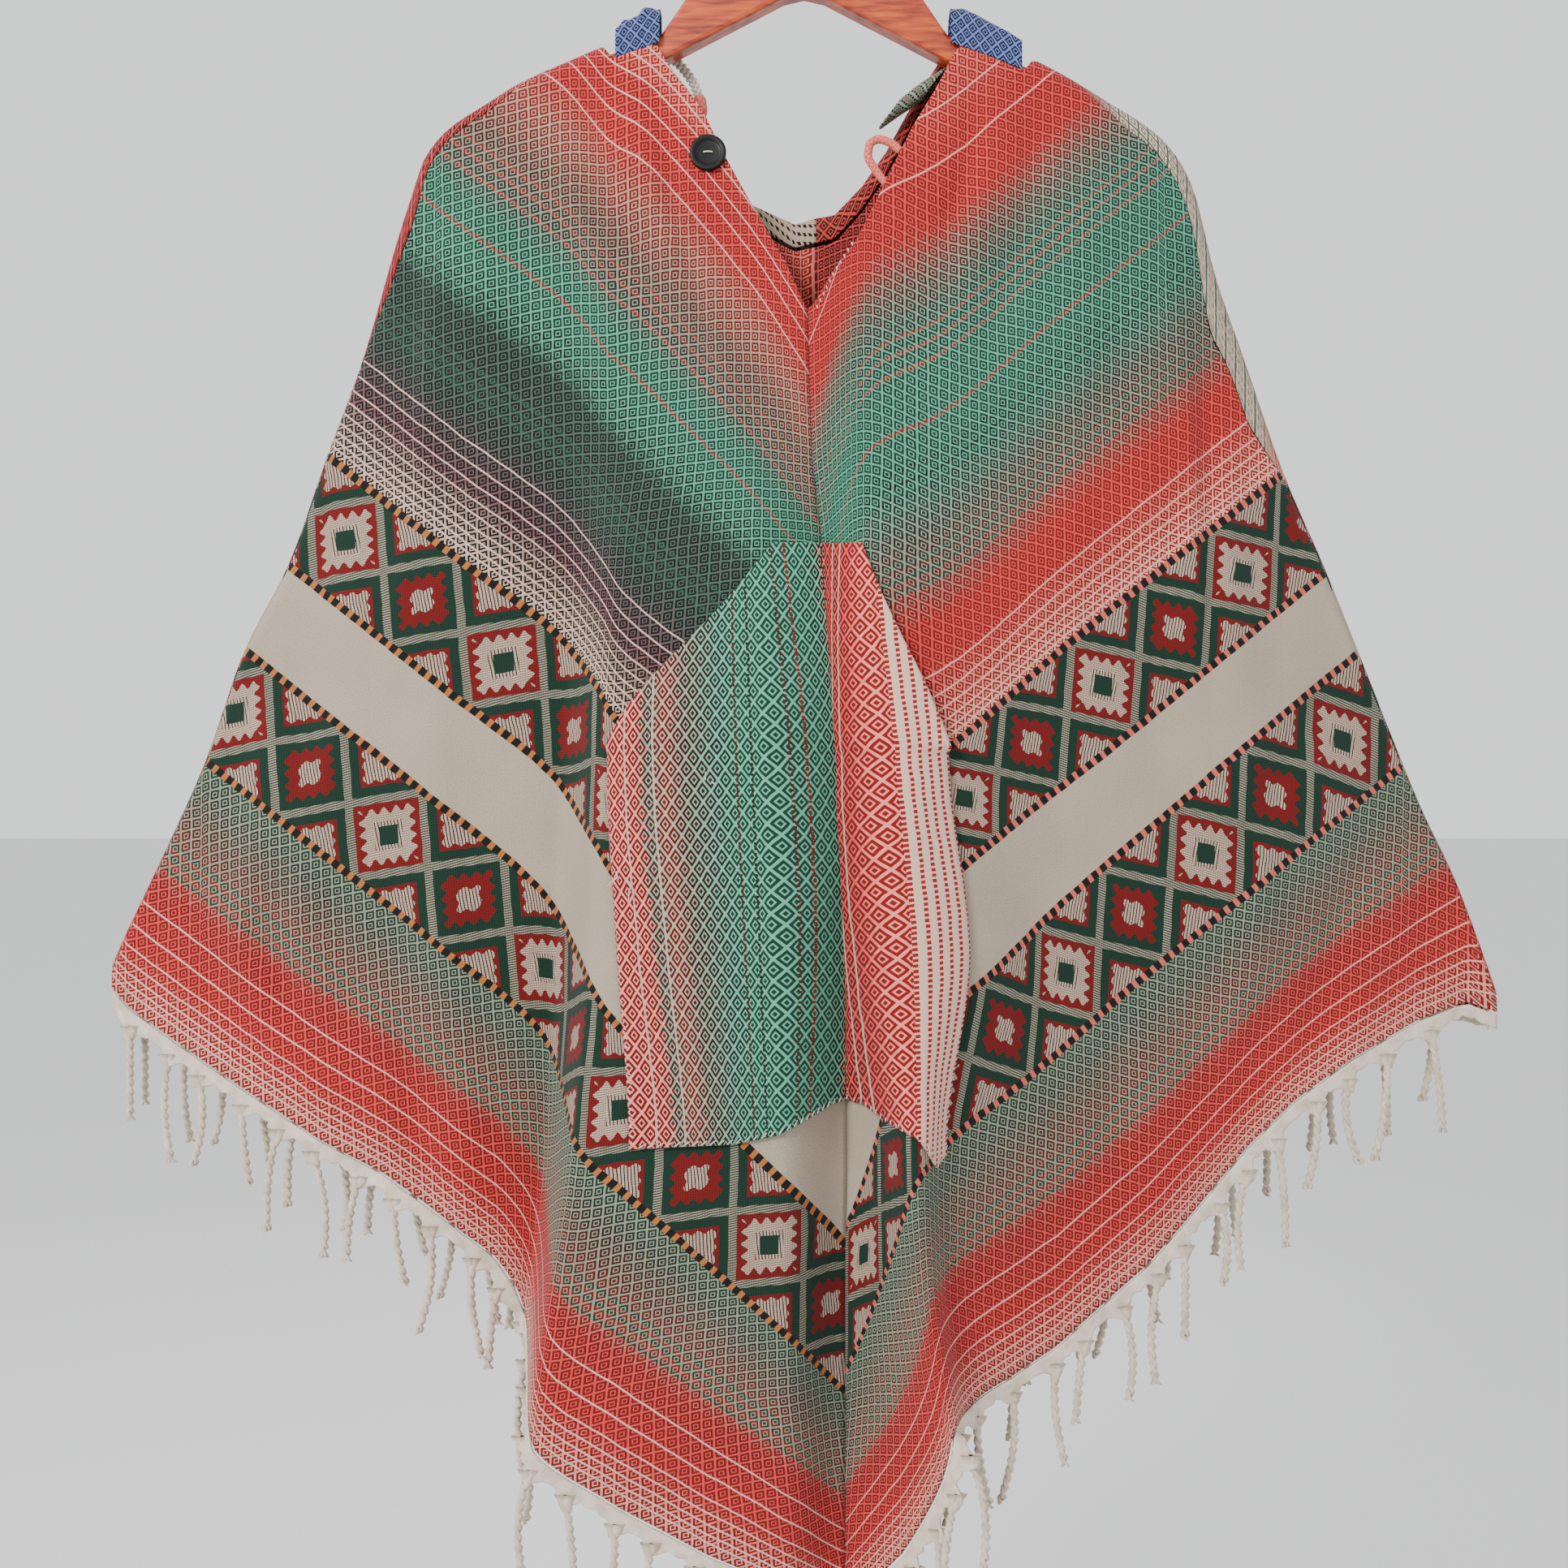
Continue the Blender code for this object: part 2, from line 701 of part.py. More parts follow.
def add_fringe(name, of_front, columns, look, collection):
    """The loose header of one hem quarter, with its tassels drawn down from its lower rim."""
    start, end = columns[0], columns[-1]
    roots = tassel_places(of_front, start, end)
    places = [start, end] + [place for root in roots for place in root]
    places += [column for column in columns if all(abs(column - place) > 2.5 for place in places)
               and not any(root[0] < column < root[1] for root in roots)]
    places = sorted(places)
    hem = (front_grid(columns) if of_front else back_grid(columns))[-1]
    sewn = np.stack([np.interp(places, columns, hem[:, axis]) for axis in range(3)], axis=1)
    base = hem_points(of_front, places, 0.0)
    gap = FRONT_HEADER_GAP if of_front else BACK_HEADER_GAP
    top = sewn + hem_points(of_front, places, gap) - base
    low = hem_points(of_front, places, HEADER - 3.0)
    half = np.array([0.0, WALL / 2 * MM, 0.0])
    bm = bmesh.new()
    rings = []
    for upper, lower in zip(top, low):
        corners = (upper - half, lower - half, lower + half, upper + half)
        rings.append([bm.verts.new(corner) for corner in corners])
    lower_faces = []
    for first, second in zip(rings, rings[1:]):
        for side in range(4):
            turn = (side + 1) % 4
            face = bm.faces.new((first[side], first[turn], second[turn], second[side]))
            if side == 1:
                lower_faces.append(face)
    bm.faces.new(rings[0][::-1])
    bm.faces.new(rings[-1])
    bmesh.ops.recalc_face_normals(bm, faces=bm.faces)
    root_starts = {round(root[0], 5) for root in roots}
    grown = [face for face, place in zip(lower_faces, places) if round(place, 5) in root_starts]
    for number, face in enumerate(grown):
        draw_tassel(bm, face, number)
    mesh = bpy.data.meshes.new(name)
    bm.to_mesh(mesh)
    bm.free()
    mesh.materials.append(look)
    made = bpy.data.objects.new(name, mesh)
    collection.objects.link(made)
    return made


def draw_tassel(bm, face, number):
    """One tassel: its root drawn in below the header, then straight down with a little lean."""
    length = TASSEL_LENGTH + TASSEL_LENGTH_VARIES * math.sin(number * 1.7)
    lean = 5.0 * math.sin(number * 2.9)
    bow = 2.5 * math.sin(number * 4.1)
    centre = face.calc_center_median()
    tip = min(vert.co.z for vert in face.verts)
    stages = ((6.0, 0.0, 0.9), (length * 0.5, lean * 0.5 + bow, 1.0), (length, lean, 0.7))
    for down, aside, size in stages:
        offsets = [vert.co - face.calc_center_median() for vert in face.verts]
        made = bmesh.ops.extrude_discrete_faces(bm, faces=[face])
        face = made["faces"][0]
        for vert, offset in zip(face.verts, offsets):
            vert.co.x = centre.x + aside * MM + math.copysign(TASSEL_THICK / 2 * size * MM, offset.x)
            vert.co.y = centre.y + math.copysign(TASSEL_THICK / 2 * size * MM, offset.y)
            vert.co.z = tip - down * MM


def add_tube(name, path, radius, look, collection, sides=2):
    """A round cord or wire along a path of points in mm: x, y, up."""
    curve = bpy.data.curves.new(name, "CURVE")
    curve.dimensions = "3D"
    curve.bevel_depth = radius * MM
    curve.bevel_resolution = sides
    curve.use_fill_caps = True
    spline = curve.splines.new("POLY")
    spline.points.add(len(path) - 1)
    for point, place in zip(spline.points, path):
        point.co = (place[0] * MM, place[1] * MM, place[2] * MM, 1.0)
    for part in curve.splines:
        part.use_smooth = True
    curve.materials.append(look)
    made = bpy.data.objects.new(name, curve)
    collection.objects.link(made)
    return made


def add_hanger(wood, metal, collection):
    """A plain wooden hanger with two sloping arms, and the wire hook above its middle."""
    under_cloth = np.array(ARM_STATIONS)
    arm = on_curve(under_cloth, SHOULDER_LINE) + ARM_BELOW_CLOTH
    right = list(HANGER_TOP) + list(zip(under_cloth, arm)) + list(HANGER_END_AND_FOOT)
    outline = right + [(-x, drop) for x, drop in right[-2:0:-1]]
    bm = bmesh.new()
    front = [bm.verts.new((x * MM, -ARM_THICK / 2 * MM, -drop * MM)) for x, drop in outline]
    face = bm.faces.new(front)
    made = bmesh.ops.extrude_face_region(bm, geom=[face])
    moved = [item for item in made["geom"] if isinstance(item, bmesh.types.BMVert)]
    bmesh.ops.translate(bm, vec=(0.0, ARM_THICK * MM, 0.0), verts=moved)
    bmesh.ops.recalc_face_normals(bm, faces=bm.faces)
    mesh = bpy.data.meshes.new("hanger_bar")
    bm.to_mesh(mesh)
    bm.free()
    mesh.materials.append(wood)
    bar = bpy.data.objects.new("hanger_bar", mesh)
    collection.objects.link(bar)
    bevel = bar.modifiers.new("Rounded edges", "BEVEL")
    bevel.width = BAR_ROUNDING * MM
    bevel.segments = 2
    bevel.limit_method = "ANGLE"
    bevel.angle_limit = math.radians(50)
    path = [(0.0, 0.0, -HANGER_TOP[0][1] + 0.5), (0.0, 0.0, -HOOK_SHANK_TOP)]
    middle = HOOK_RADIUS + WIRE / 2
    for step in range(12):
        turn = math.radians(HOOK_START + step * HOOK_STEP)
        path.append((middle * math.cos(turn), 0.0, -HOOK_RADIUS + middle * math.sin(turn)))
    add_tube("hanger_hook", path, WIRE / 2, metal, collection)


def add_button(look, thread, collection):
    """A round button with a raised rim, on the left neck edge, and the bar of thread over its middle."""
    place = np.array([BUTTON_PLACE])
    drop = np.array([BUTTON_DROP])
    seat = front_point(place, drop, WALL / 2 + GAP)[0]
    outward = front_point(place, drop, 3.0)[0] - front_point(place, drop, 1.0)[0]
    outward /= np.linalg.norm(outward)
    side = np.cross(outward, (0.0, 0.0, 1.0))
    side /= np.linalg.norm(side)
    up = np.cross(side, outward)
    turns = BUTTON_TURNS
    points = [seat]
    for radius, height in BUTTON_OUTLINE:
        for turn in range(turns):
            angle = 2 * math.pi * turn / turns
            around = side * math.cos(angle) + up * math.sin(angle)
            points.append(seat + around * radius * MM + outward * height * MM)
    points.append(seat + outward * BUTTON_MIDDLE * MM)
    faces = []
    for turn in range(turns):
        following = (turn + 1) % turns
        faces.append((0, 1 + turn, 1 + following))
        for ring in range(len(BUTTON_OUTLINE) - 1):
            low = 1 + ring * turns
            high = low + turns
            faces.append((low + turn, high + turn, high + following, low + following))
        last = 1 + (len(BUTTON_OUTLINE) - 1) * turns
        faces.append((last + turn, len(points) - 1, last + following))
    made = add_mesh("button", points, faces, look, collection)
    bm = bmesh.new()
    bm.from_mesh(made.data)
    bmesh.ops.recalc_face_normals(bm, faces=bm.faces)
    bm.to_mesh(made.data)
    bm.free()
    top = (seat + outward * (BUTTON_MIDDLE + 2 * THREAD_RADIUS - 0.1) * MM) / MM
    path = [top + side * reach for reach in (-2.6, 0.0, 2.6)]
    add_tube("button_thread", path, THREAD_RADIUS, thread, collection, 1)


def add_neck_trim(pink, cotton, red, casing, collection):
    """The fabric loop, the drawcord's free end with its cloth tip, and the end of the hood's casing."""
    foot = front_point(np.array([LOOP_FOOT_PLACE]), np.array([LOOP_FOOT_DROP]))[0] / MM
    behind = foot[1] + WALL / 2 + GAP + LOOP_CLEAR
    loop = [(foot[0] + across, behind, foot[2] + rise) for across, rise in LOOP_PATH]
    add_tube("button_loop", loop, LOOP_RADIUS, pink, collection)
    add_tube("drawcord", CORD_PATH, CORD_RADIUS, cotton, collection)
    made = add_tube("drawcord_tip", TIP_PATH, TIP_RADIUS, red, collection)
    for point, size in zip(made.data.splines[0].points, TIP_SIZES):
        point.radius = size
    rings = []
    turns = CASING_TURNS
    for x, y, up, wide, deep in CASING_RINGS:
        ring = []
        for step in range(turns):
            turn = 2 * math.pi * step / turns
            along = wide * math.cos(turn)
            across = x + along * CASING_LEAN[0]
            rise = up + along * CASING_LEAN[1]
            ring.append((across * MM, (y + deep * math.sin(turn)) * MM, rise * MM))
        rings.append(ring)
    grid = np.array(rings)
    points = grid.reshape(-1, 3)
    faces = []
    for ring in range(len(CASING_RINGS) - 1):
        low = ring * turns
        high = low + turns
        for step in range(turns):
            following = (step + 1) % turns
            faces.append((low + step, low + following, high + following, high + step))
    tube = add_mesh("hood_casing", points, faces, casing, collection)
    solid = tube.modifiers.new("Wall", "SOLIDIFY")
    solid.thickness = CASING_WALL * MM
    solid.offset = 0.0


def build():
    for old in list(bpy.data.objects):
        bpy.data.objects.remove(old, do_unlink=True)
    collection = bpy.data.collections.new("Hooded poncho")
    bpy.context.scene.collection.children.link(collection)
    weave = material("woven_cotton", (0.33, 0.20, 0.18), 0.9)
    blue = material("blue_cotton", (0.08, 0.14, 0.32), 0.9)
    cream = material("cream_cotton", (0.68, 0.62, 0.55), 0.9)
    red = material("red_cotton", (0.55, 0.10, 0.12), 0.9)
    pocket_cloth = material("pocket_cotton", (0.20, 0.30, 0.26), 0.9)
    wood = material("hanger_wood", (0.55, 0.24, 0.08), 0.4)
    metal = material("hook_metal", (0.7, 0.7, 0.7), 0.25)
    black = material("black_button", (0.01, 0.01, 0.01), 0.35)

    add_sheet("front_left", front_grid(LEFT_PLACES), weave, collection)
    add_sheet("front_right", front_grid(RIGHT_PLACES), weave, collection)
    left_back = back_places(-1)
    right_back = back_places(1)
    add_sheet("back_left", back_grid(left_back)[:, ::-1], weave, collection)
    add_sheet("back_right", back_grid(right_back)[:, ::-1], weave, collection)
    add_sheet("pocket", pocket_grid(), pocket_cloth, collection)
    add_sheet("hood_left", hood_grid(-1), weave, collection, 1.5)
    add_sheet("hood_right", hood_grid(1)[:, ::-1], weave, collection, 1.5)
    add_sheet("hood_end_left", hood_end_grid(-1), blue, collection, 1.4)
    add_sheet("hood_end_right", hood_end_grid(1)[:, ::-1], blue, collection, 1.4)

    add_fringe("fringe_front_left", True, LEFT_PLACES, cream, collection)
    add_fringe("fringe_front_right", True, RIGHT_PLACES, cream, collection)
    add_fringe("fringe_back_left", False, left_back, cream, collection)
    add_fringe("fringe_back_right", False, right_back, cream, collection)

    add_hanger(wood, metal, collection)
    add_button(black, cream, collection)
    add_neck_trim(red, cream, red, pocket_cloth, collection)


build()
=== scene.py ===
# %% [markdown]
# # A hooded poncho on a wooden hanger
# This lesson dresses a plain solid model of a handwoven cotton poncho. The solid model is the frame: it
# says where each piece is and how big it is. Each cell adds one piece or one finish, in the order in
# which a maker would think about it: light, cloth, fringe, small trims, hanger, then the weave itself.

# %% Load the frame
import math

import bmesh
import bpy
import numpy as np
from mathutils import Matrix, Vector


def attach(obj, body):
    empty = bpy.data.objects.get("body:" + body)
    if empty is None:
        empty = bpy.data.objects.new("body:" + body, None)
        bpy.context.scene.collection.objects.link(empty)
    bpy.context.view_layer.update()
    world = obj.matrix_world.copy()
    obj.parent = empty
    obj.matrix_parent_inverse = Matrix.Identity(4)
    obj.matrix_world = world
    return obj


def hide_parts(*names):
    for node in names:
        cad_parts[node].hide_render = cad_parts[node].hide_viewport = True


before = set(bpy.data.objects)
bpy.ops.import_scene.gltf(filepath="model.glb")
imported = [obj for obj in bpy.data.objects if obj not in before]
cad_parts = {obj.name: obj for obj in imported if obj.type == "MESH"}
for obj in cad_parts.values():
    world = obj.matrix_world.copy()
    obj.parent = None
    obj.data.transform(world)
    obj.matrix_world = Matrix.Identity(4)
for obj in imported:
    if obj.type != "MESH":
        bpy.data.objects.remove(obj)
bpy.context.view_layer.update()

MM = 0.001
print("frame nodes:", len(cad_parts))

# %% [markdown]
# ## Camera, light and floor
# The photograph was taken square on, from a little over a metre away, so near folds look larger than the
# cloth behind them. A camera at that distance gives the same look. The light is soft and comes from the
# upper left, with a weak fill from the right, and the floor is pale and plain.

# %% Camera
VIEW_X = -13.0
VIEW_DROP = 612.0
VIEW_DISTANCE = 1100.0
PHOTO_PIXELS = 1932
MM_PER_PIXEL = 0.52

camera_data = bpy.data.cameras.new("camera")
camera_data.sensor_width = 36.0
seen_width = PHOTO_PIXELS * MM_PER_PIXEL
camera_data.lens = 36.0 * VIEW_DISTANCE / seen_width
camera_data.clip_start = 0.05
camera_data.clip_end = 60.0
camera = bpy.data.objects.new("camera", camera_data)
camera.location = (VIEW_X * MM, -VIEW_DISTANCE * MM, -VIEW_DROP * MM)
camera.rotation_euler = (math.radians(90), 0.0, 0.0)
bpy.context.scene.collection.objects.link(camera)
bpy.context.scene.camera = camera
print("lens", round(camera_data.lens, 2))

# %% Light
world = bpy.data.worlds.new("pale_room")
world.use_nodes = True
world.node_tree.nodes["Background"].inputs["Color"].default_value = (0.93, 0.94, 0.96, 1.0)
world.node_tree.nodes["Background"].inputs["Strength"].default_value = 1.3
bpy.context.scene.world = world


def add_light(name, place, aim, size, power, colour):
    data = bpy.data.lights.new(name, "AREA")
    data.shape = "DISK"
    data.size = size
    data.energy = power
    data.color = colour
    light = bpy.data.objects.new(name, data)
    light.location = place
    light.rotation_euler = (Vector(aim) - Vector(place)).to_track_quat("-Z", "Y").to_euler()
    bpy.context.scene.collection.objects.link(light)
    return light


add_light("key_light", (-1.5, -2.0, 0.75), (0.0, 0.0, -0.6), 0.8, 112.0, (1.0, 0.98, 0.95))
add_light("fill_light", (1.9, -1.9, -0.2), (0.0, 0.0, -0.6), 1.6, 9.0, (0.95, 0.97, 1.0))
add_light("back_light", (0.4, 2.0, 0.8), (0.0, 0.0, -0.5), 1.5, 22.0, (1.0, 1.0, 1.0))

# %% Floor
bpy.ops.mesh.primitive_plane_add(size=60.0, location=(0.0, 0.0, -1.6))
floor = bpy.context.active_object
floor.name = "floor"
floor_look = bpy.data.materials.new("pale_floor")
floor_look.use_nodes = True
floor_look.node_tree.nodes["Principled BSDF"].inputs["Base Color"].default_value = (0.72, 0.72, 0.72, 1.0)
floor_look.node_tree.nodes["Principled BSDF"].inputs["Roughness"].default_value = 0.9
floor.data.materials.append(floor_look)

# %% [markdown]
# ## The shape of the hung cloth
# A hung poncho is two flat panels in front and two behind, so its shape is an outline and a set of folds.
# The tables hold what can be read off the photograph: the outline over the shoulders, the neck edge, the
# hem, and the fold lines of the front. Each fold line has a place across the flat cloth, the x where it
# is seen at each drop, and how far it stands forward there. A smooth curve through the fold lines then
# gives every point of the cloth.

# %% Sizes in mm
# Cloth, mm
WALL = 1.8
GAP = 0.6
HEADER = 16.0
FRONT_HEADER_GAP = 1.5
BACK_HEADER_GAP = 0.7
EDGE_RADIUS = 11.0
CORNER_RADIUS = 6.0
FOLD_FADE = 75.0

# %% Outline and neck
# Outline of the cloth from corner to corner over both shoulders: x, drop
SHOULDER_LINE = (
    (-446, 737),
    (-437, 716),
    (-411, 661),
    (-383, 599),
    (-357, 526),
    (-328, 469),
    (-305, 404),
    (-281, 339),
    (-260, 266),
    (-250, 235),
    (-242, 212),
    (-227, 194),
    (-203, 178),
    (-182, 165),
    (-151, 151),
    (-120, 138),
    (-97, 130),
    (0, 92),
    (97, 130),
    (120, 138),
    (155, 154),
    (194, 177),
    (223, 196),
    (237, 211),
    (248, 232),
    (262, 287),
    (280, 339),
    (306, 414),
    (332, 474),
    (353, 526),
    (382, 599),
    (395, 630),
    (415, 672),
    (440, 739),
    (446, 757),
)

# Front neck edge and the back neck seam: x, drop
NECK_LINE = (
    (-104, 100),
    (-97, 138),
    (-86, 156),
    (-65, 184),
    (-52, 211),
    (-40, 233),
    (-24, 261),
    (-12, 281),
    (1, 311),
    (4, 311),
    (18, 287),
    (34, 265),
    (48, 237),
    (56, 221),
    (68, 196),
    (84, 170),
    (96, 146),
    (103, 100),
)
BACK_NECK_LINE = (
    (-104, 100),
    (-97, 136),
    (-86, 166),
    (-68, 208),
    (-40, 250),
    (-6, 268),
    (20, 262),
    (38, 242),
    (54, 218),
    (72, 184),
    (88, 158),
    (97, 138),
    (103, 100),
)

# %% Folds and hems
# How far the back cloth comes over to the front, measured round the edge: x, mm
WRAP = (
    (-446, 5),
    (-275, 6),
    (-262, 12),
    (-245, 15),
    (-200, 14),
    (-160, 6),
    (-140, 4),
    (152, 4),
    (172, 7),
    (205, 18),
    (280, 19),
    (305, 7),
    (446, 5),
)

# Beside the neck both edges stay this far round from the ridge, which the hood's end covers: x, mm
RIDGE_OPEN = (
    (-132, 0),
    (-122, 19),
    (139, 19),
    (150, 0),
)

# Fold lines of the front: place across the cloth, then x and forward depth (mm) at each drop below
DROPS = (140, 200, 300, 400, 460, 600, 720, 840, 930, 1040, 1150)
FOLD_LINES = {
    "left corner": (-446, [-446] * 11, [0] * 11),
    "left middle": (-300, [-300] * 11, [0, 2, 8, 12, 14, 14, 12, 10, 8, 8, 8]),
    "left wave": (-220, [-220] * 11, [0, 3, 10, 15, 17, 18, 16, 12, 9, 8, 8]),
    "step foot": (
        -175,
        [-150, -150, -150, -150, -151, -156, -160, -166, -176, -187, -191],
        [0, 4, 11, 17, 20, 20, 16, 10, 7, 6, 6],
    ),
    "step ridge": (
        -145,
        [-122, -122, -122, -123, -125, -131, -133, -143, -157, -173, -177],
        [0, 5, 13, 24, 34, 54, 66, 76, 80, 84, 84],
    ),
    "pocket left": (
        -112,
        [-100, -101, -104, -110, -116, -124, -118, -111, -112, -118, -120],
        [0, 5, 14, 26, 37, 58, 70, 78, 80, 80, 80],
    ),
    "left crest": (
        -38,
        [-38, -37, -36, -34, -32, -26, -21, -17, -15, -13, -12],
        [0, 6, 15, 28, 40, 60, 72, 76, 74, 70, 68],
    ),
    "centre seam": (
        0,
        [0, 1, 2, 5, 11, 19, 24, 27, 26, 26, 26],
        [0, 6, 14, 23, 28, 35, 38, 40, 40, 40, 40],
    ),
    "right ridge": (
        48,
        [44, 44, 43, 42, 42, 53, 63, 69, 77, 93, 96],
        [0, 6, 15, 29, 42, 62, 74, 80, 82, 84, 84],
    ),
    "pocket right": (
        90,
        [84, 84, 85, 86, 87, 90, 103, 88, 92, 106, 110],
        [0, 5, 14, 25, 36, 51, 57, 60, 60, 58, 56],
    ),
    "right wave": (165, [165] * 11, [0, 4, 12, 18, 24, 30, 32, 32, 30, 28, 28]),
    "right middle": (300, [300] * 11, [0, 2, 8, 12, 15, 18, 20, 18, 14, 12, 12]),
    "right corner": (446, [446] * 11, [0] * 11),
}

# Loose lower edge of the front by place across the cloth: place, drop
FRONT_HEM = (
    (-446, 752),
    (-430, 770),
    (-401, 791),
    (-359, 820),
    (-307, 854),
    (-266, 875),
    (-224, 906),
    (-198, 927),
    (-182, 948),
    (-170, 970),
    (-158, 1005),
    (-150, 1035),
    (-143, 1050),
    (-130, 1066),
    (-112, 1086),
    (-75, 1116),
    (-38, 1138),
    (0, 1150),
    (12, 1134),
    (23, 1115),
    (33, 1088),
    (43, 1062),
    (50, 1043),
    (60, 1034),
    (90, 1024),
    (130, 1004),
    (160, 984),
    (218, 932),
    (249, 896),
    (280, 859),
    (311, 829),
    (348, 802),
    (390, 778),
    (421, 766),
    (446, 775),
)
BACK_HEM = (
    (-446, 752),
    (-400, 778),
    (-307, 838),
    (-224, 890),
    (-150, 945),
    (-60, 1020),
    (10, 1075),
    (80, 1010),
    (160, 945),
    (218, 905),
    (280, 842),
    (348, 788),
    (400, 768),
    (446, 775),
)

# %% Pocket
# Pocket: top, the foot of the slanted openings, and the lower edge by place: place, drop
POCKET_TOP = 460.0
SLANT_END = 590.0
POCKET_TOP_SPAN = (-29.0, 42.0)
POCKET_SPAN = (-112.0, 90.0)
POCKET_BOTTOM = (
    (-112, 843),
    (-60, 840),
    (-38, 834),
    (-12, 815),
    (0, 811),
    (14, 815),
    (30, 826),
    (48, 835),
    (75, 855),
    (90, 846),
)
POCKET_SLACK = 12.0
POCKET_SLANT_CLEAR = 0.9

# %% Curves through the tables
def smooth(at, places, values):
    """Values on a curve through the points that is flat at its peaks and valleys."""
    places = np.asarray(places, float)
    values = np.asarray(values, float)
    if values.ndim == 1:
        values = values[:, None]
    width = np.diff(places)[:, None]
    slope = np.diff(values, axis=0) / width
    rising = slope[1:] * slope[:-1] > 0
    total = np.where(rising, slope[1:] + slope[:-1], 1.0)
    lean = np.zeros_like(values)
    lean[1:-1] = np.where(rising, 2.0 * slope[1:] * slope[:-1] / total, 0.0)
    lean[0] = slope[0]
    lean[-1] = slope[-1]
    at = np.clip(np.asarray(at, float), places[0], places[-1])
    part = np.clip(np.searchsorted(places, at, side="right") - 1, 0, len(places) - 2)
    row = np.arange(len(at)) if values.shape[1] > 1 else np.zeros(len(at), int)
    size = width[part, 0]
    t = (at - places[part]) / size
    low = values[part, row]
    high = values[part + 1, row]
    low_lean = lean[part, row] * size
    high_lean = lean[part + 1, row] * size
    eased = (1 + 2 * t) * (1 - t) ** 2 * low + t * t * (3 - 2 * t) * high
    return eased + t * (1 - t) ** 2 * low_lean + t * t * (t - 1) * high_lean


def on_line(at, table):
    """A value read from a two-column table by straight steps."""
    columns = np.asarray(table, float)
    return np.interp(at, columns[:, 0], columns[:, 1])


def on_curve(at, table):
    """A value read from a two-column table along a smooth curve."""
    columns = np.asarray(table, float)
    return smooth(at, columns[:, 0], columns[:, 1])


def from_folds(place, drop, column):
    """The x (column 1) or the forward depth (column 2) of the front at each place and drop."""
    lines = list(FOLD_LINES.values())
    levels = np.array([smooth(drop, DROPS, line[column]) for line in lines])
    return smooth(place, [line[0] for line in lines], levels)


def edge_radius(x):
    return np.interp(np.abs(x), (0, 230, 446), (EDGE_RADIUS, EDGE_RADIUS, CORNER_RADIUS))


def lean_of_edge(x):
    """Cosine of the outline's slope, to turn a distance from it into a drop."""
    step = 4.0
    slope = (on_curve(x + step, SHOULDER_LINE) - on_curve(x - step, SHOULDER_LINE)) / (2 * step)
    return 1.0 / np.sqrt(1.0 + slope**2)


def inset_at(x, around):
    """How far inside the outline a point is after going this far round its rounded edge."""
    radius = edge_radius(x)
    turn = np.clip(around / radius, 0.0, math.pi / 2)
    beyond = np.maximum(around - radius * math.pi / 2, 0.0)
    return radius * (1 - np.cos(turn)) + beyond


def edge_depth(x, drop):
    """Half the thickness of the hung poncho near its outline, and the fade of its folds there."""
    radius = edge_radius(x)
    inset = np.maximum((drop - on_curve(x, SHOULDER_LINE)) * lean_of_edge(x), 0.0)
    inner = np.clip(1.0 - inset / radius, 0.0, 1.0)
    fade = np.clip(inset / FOLD_FADE, 0.0, 1.0)
    return radius * np.sqrt(1.0 - inner**2), fade * fade * (3 - 2 * fade)


def seen_at(x, drop, y, forward=0.0):
    """Metres for a point at depth y that is seen at x and drop, its fold standing forward by so much."""
    nearer = (VIEW_DISTANCE - forward) / VIEW_DISTANCE
    across = VIEW_X + (x - VIEW_X) * nearer
    down = VIEW_DROP + (drop - VIEW_DROP) * nearer
    return np.stack([across, y, -down], axis=-1) * MM


def front_point(place, drop, out=0.0):
    """The front cloth's middle surface, or a surface that lies this many mm out from it."""
    place = np.asarray(place, float)
    drop = np.asarray(drop, float)
    x = from_folds(place, drop, 1)
    half, fade = edge_depth(x, drop)
    forward = fade * from_folds(place, drop, 2)
    points = seen_at(x, drop, -half - forward, forward)
    if np.isscalar(out) and out == 0.0:
        return points
    step = 0.8
    across = front_point(place + step, drop) - front_point(place - step, drop)
    down = front_point(place, drop + step) - front_point(place, drop - step)
    normal = np.cross(down, across)
    normal /= np.linalg.norm(normal, axis=-1, keepdims=True)
    return points + normal * (np.asarray(out, float) * MM)[..., None]


def back_point(x, drop, over=None):
    """The back cloth. `over` is the distance round the edge from its ridge, to the front if negative."""
    x = np.asarray(x, float)
    half, fade = edge_depth(x, drop)
    side = np.ones_like(x) if over is None else np.where(over < 0, -1.0, 1.0)
    hang = np.clip((drop - 300.0) / 500.0, 0.0, 1.0)
    wave = 5.0 * np.sin(x / 46.0 + 0.6) + 3.0 * np.sin(x / 23.0)
    y = side * half + np.where(side > 0, fade * hang * (wave + 5.0), 0.0)
    return seen_at(x, drop, y)


def top_of_front(place):
    """The drop where each column of the front starts, and its first rows."""
    drop = np.full(len(place), 200.0)
    for _ in range(25):
        x = from_folds(place, drop, 1)
        around = np.maximum(on_line(x, WRAP) + GAP, on_line(x, RIDGE_OPEN))
        start = on_curve(x, SHOULDER_LINE) + inset_at(x, around) / lean_of_edge(x)
        drop = np.maximum(start, on_line(x, NECK_LINE))
    rows = [drop]
    hem = on_line(place, FRONT_HEM) - HEADER
    room = np.maximum(hem - drop, 3.0)
    for step in (3.0, 8.0, 17.0):
        inset = inset_at(x, around + step) - inset_at(x, around)
        lower = np.minimum(np.maximum(inset / lean_of_edge(x), 0.4 * step), room * step / 40.0)
        rows.append(drop + lower)
    return rows, hem

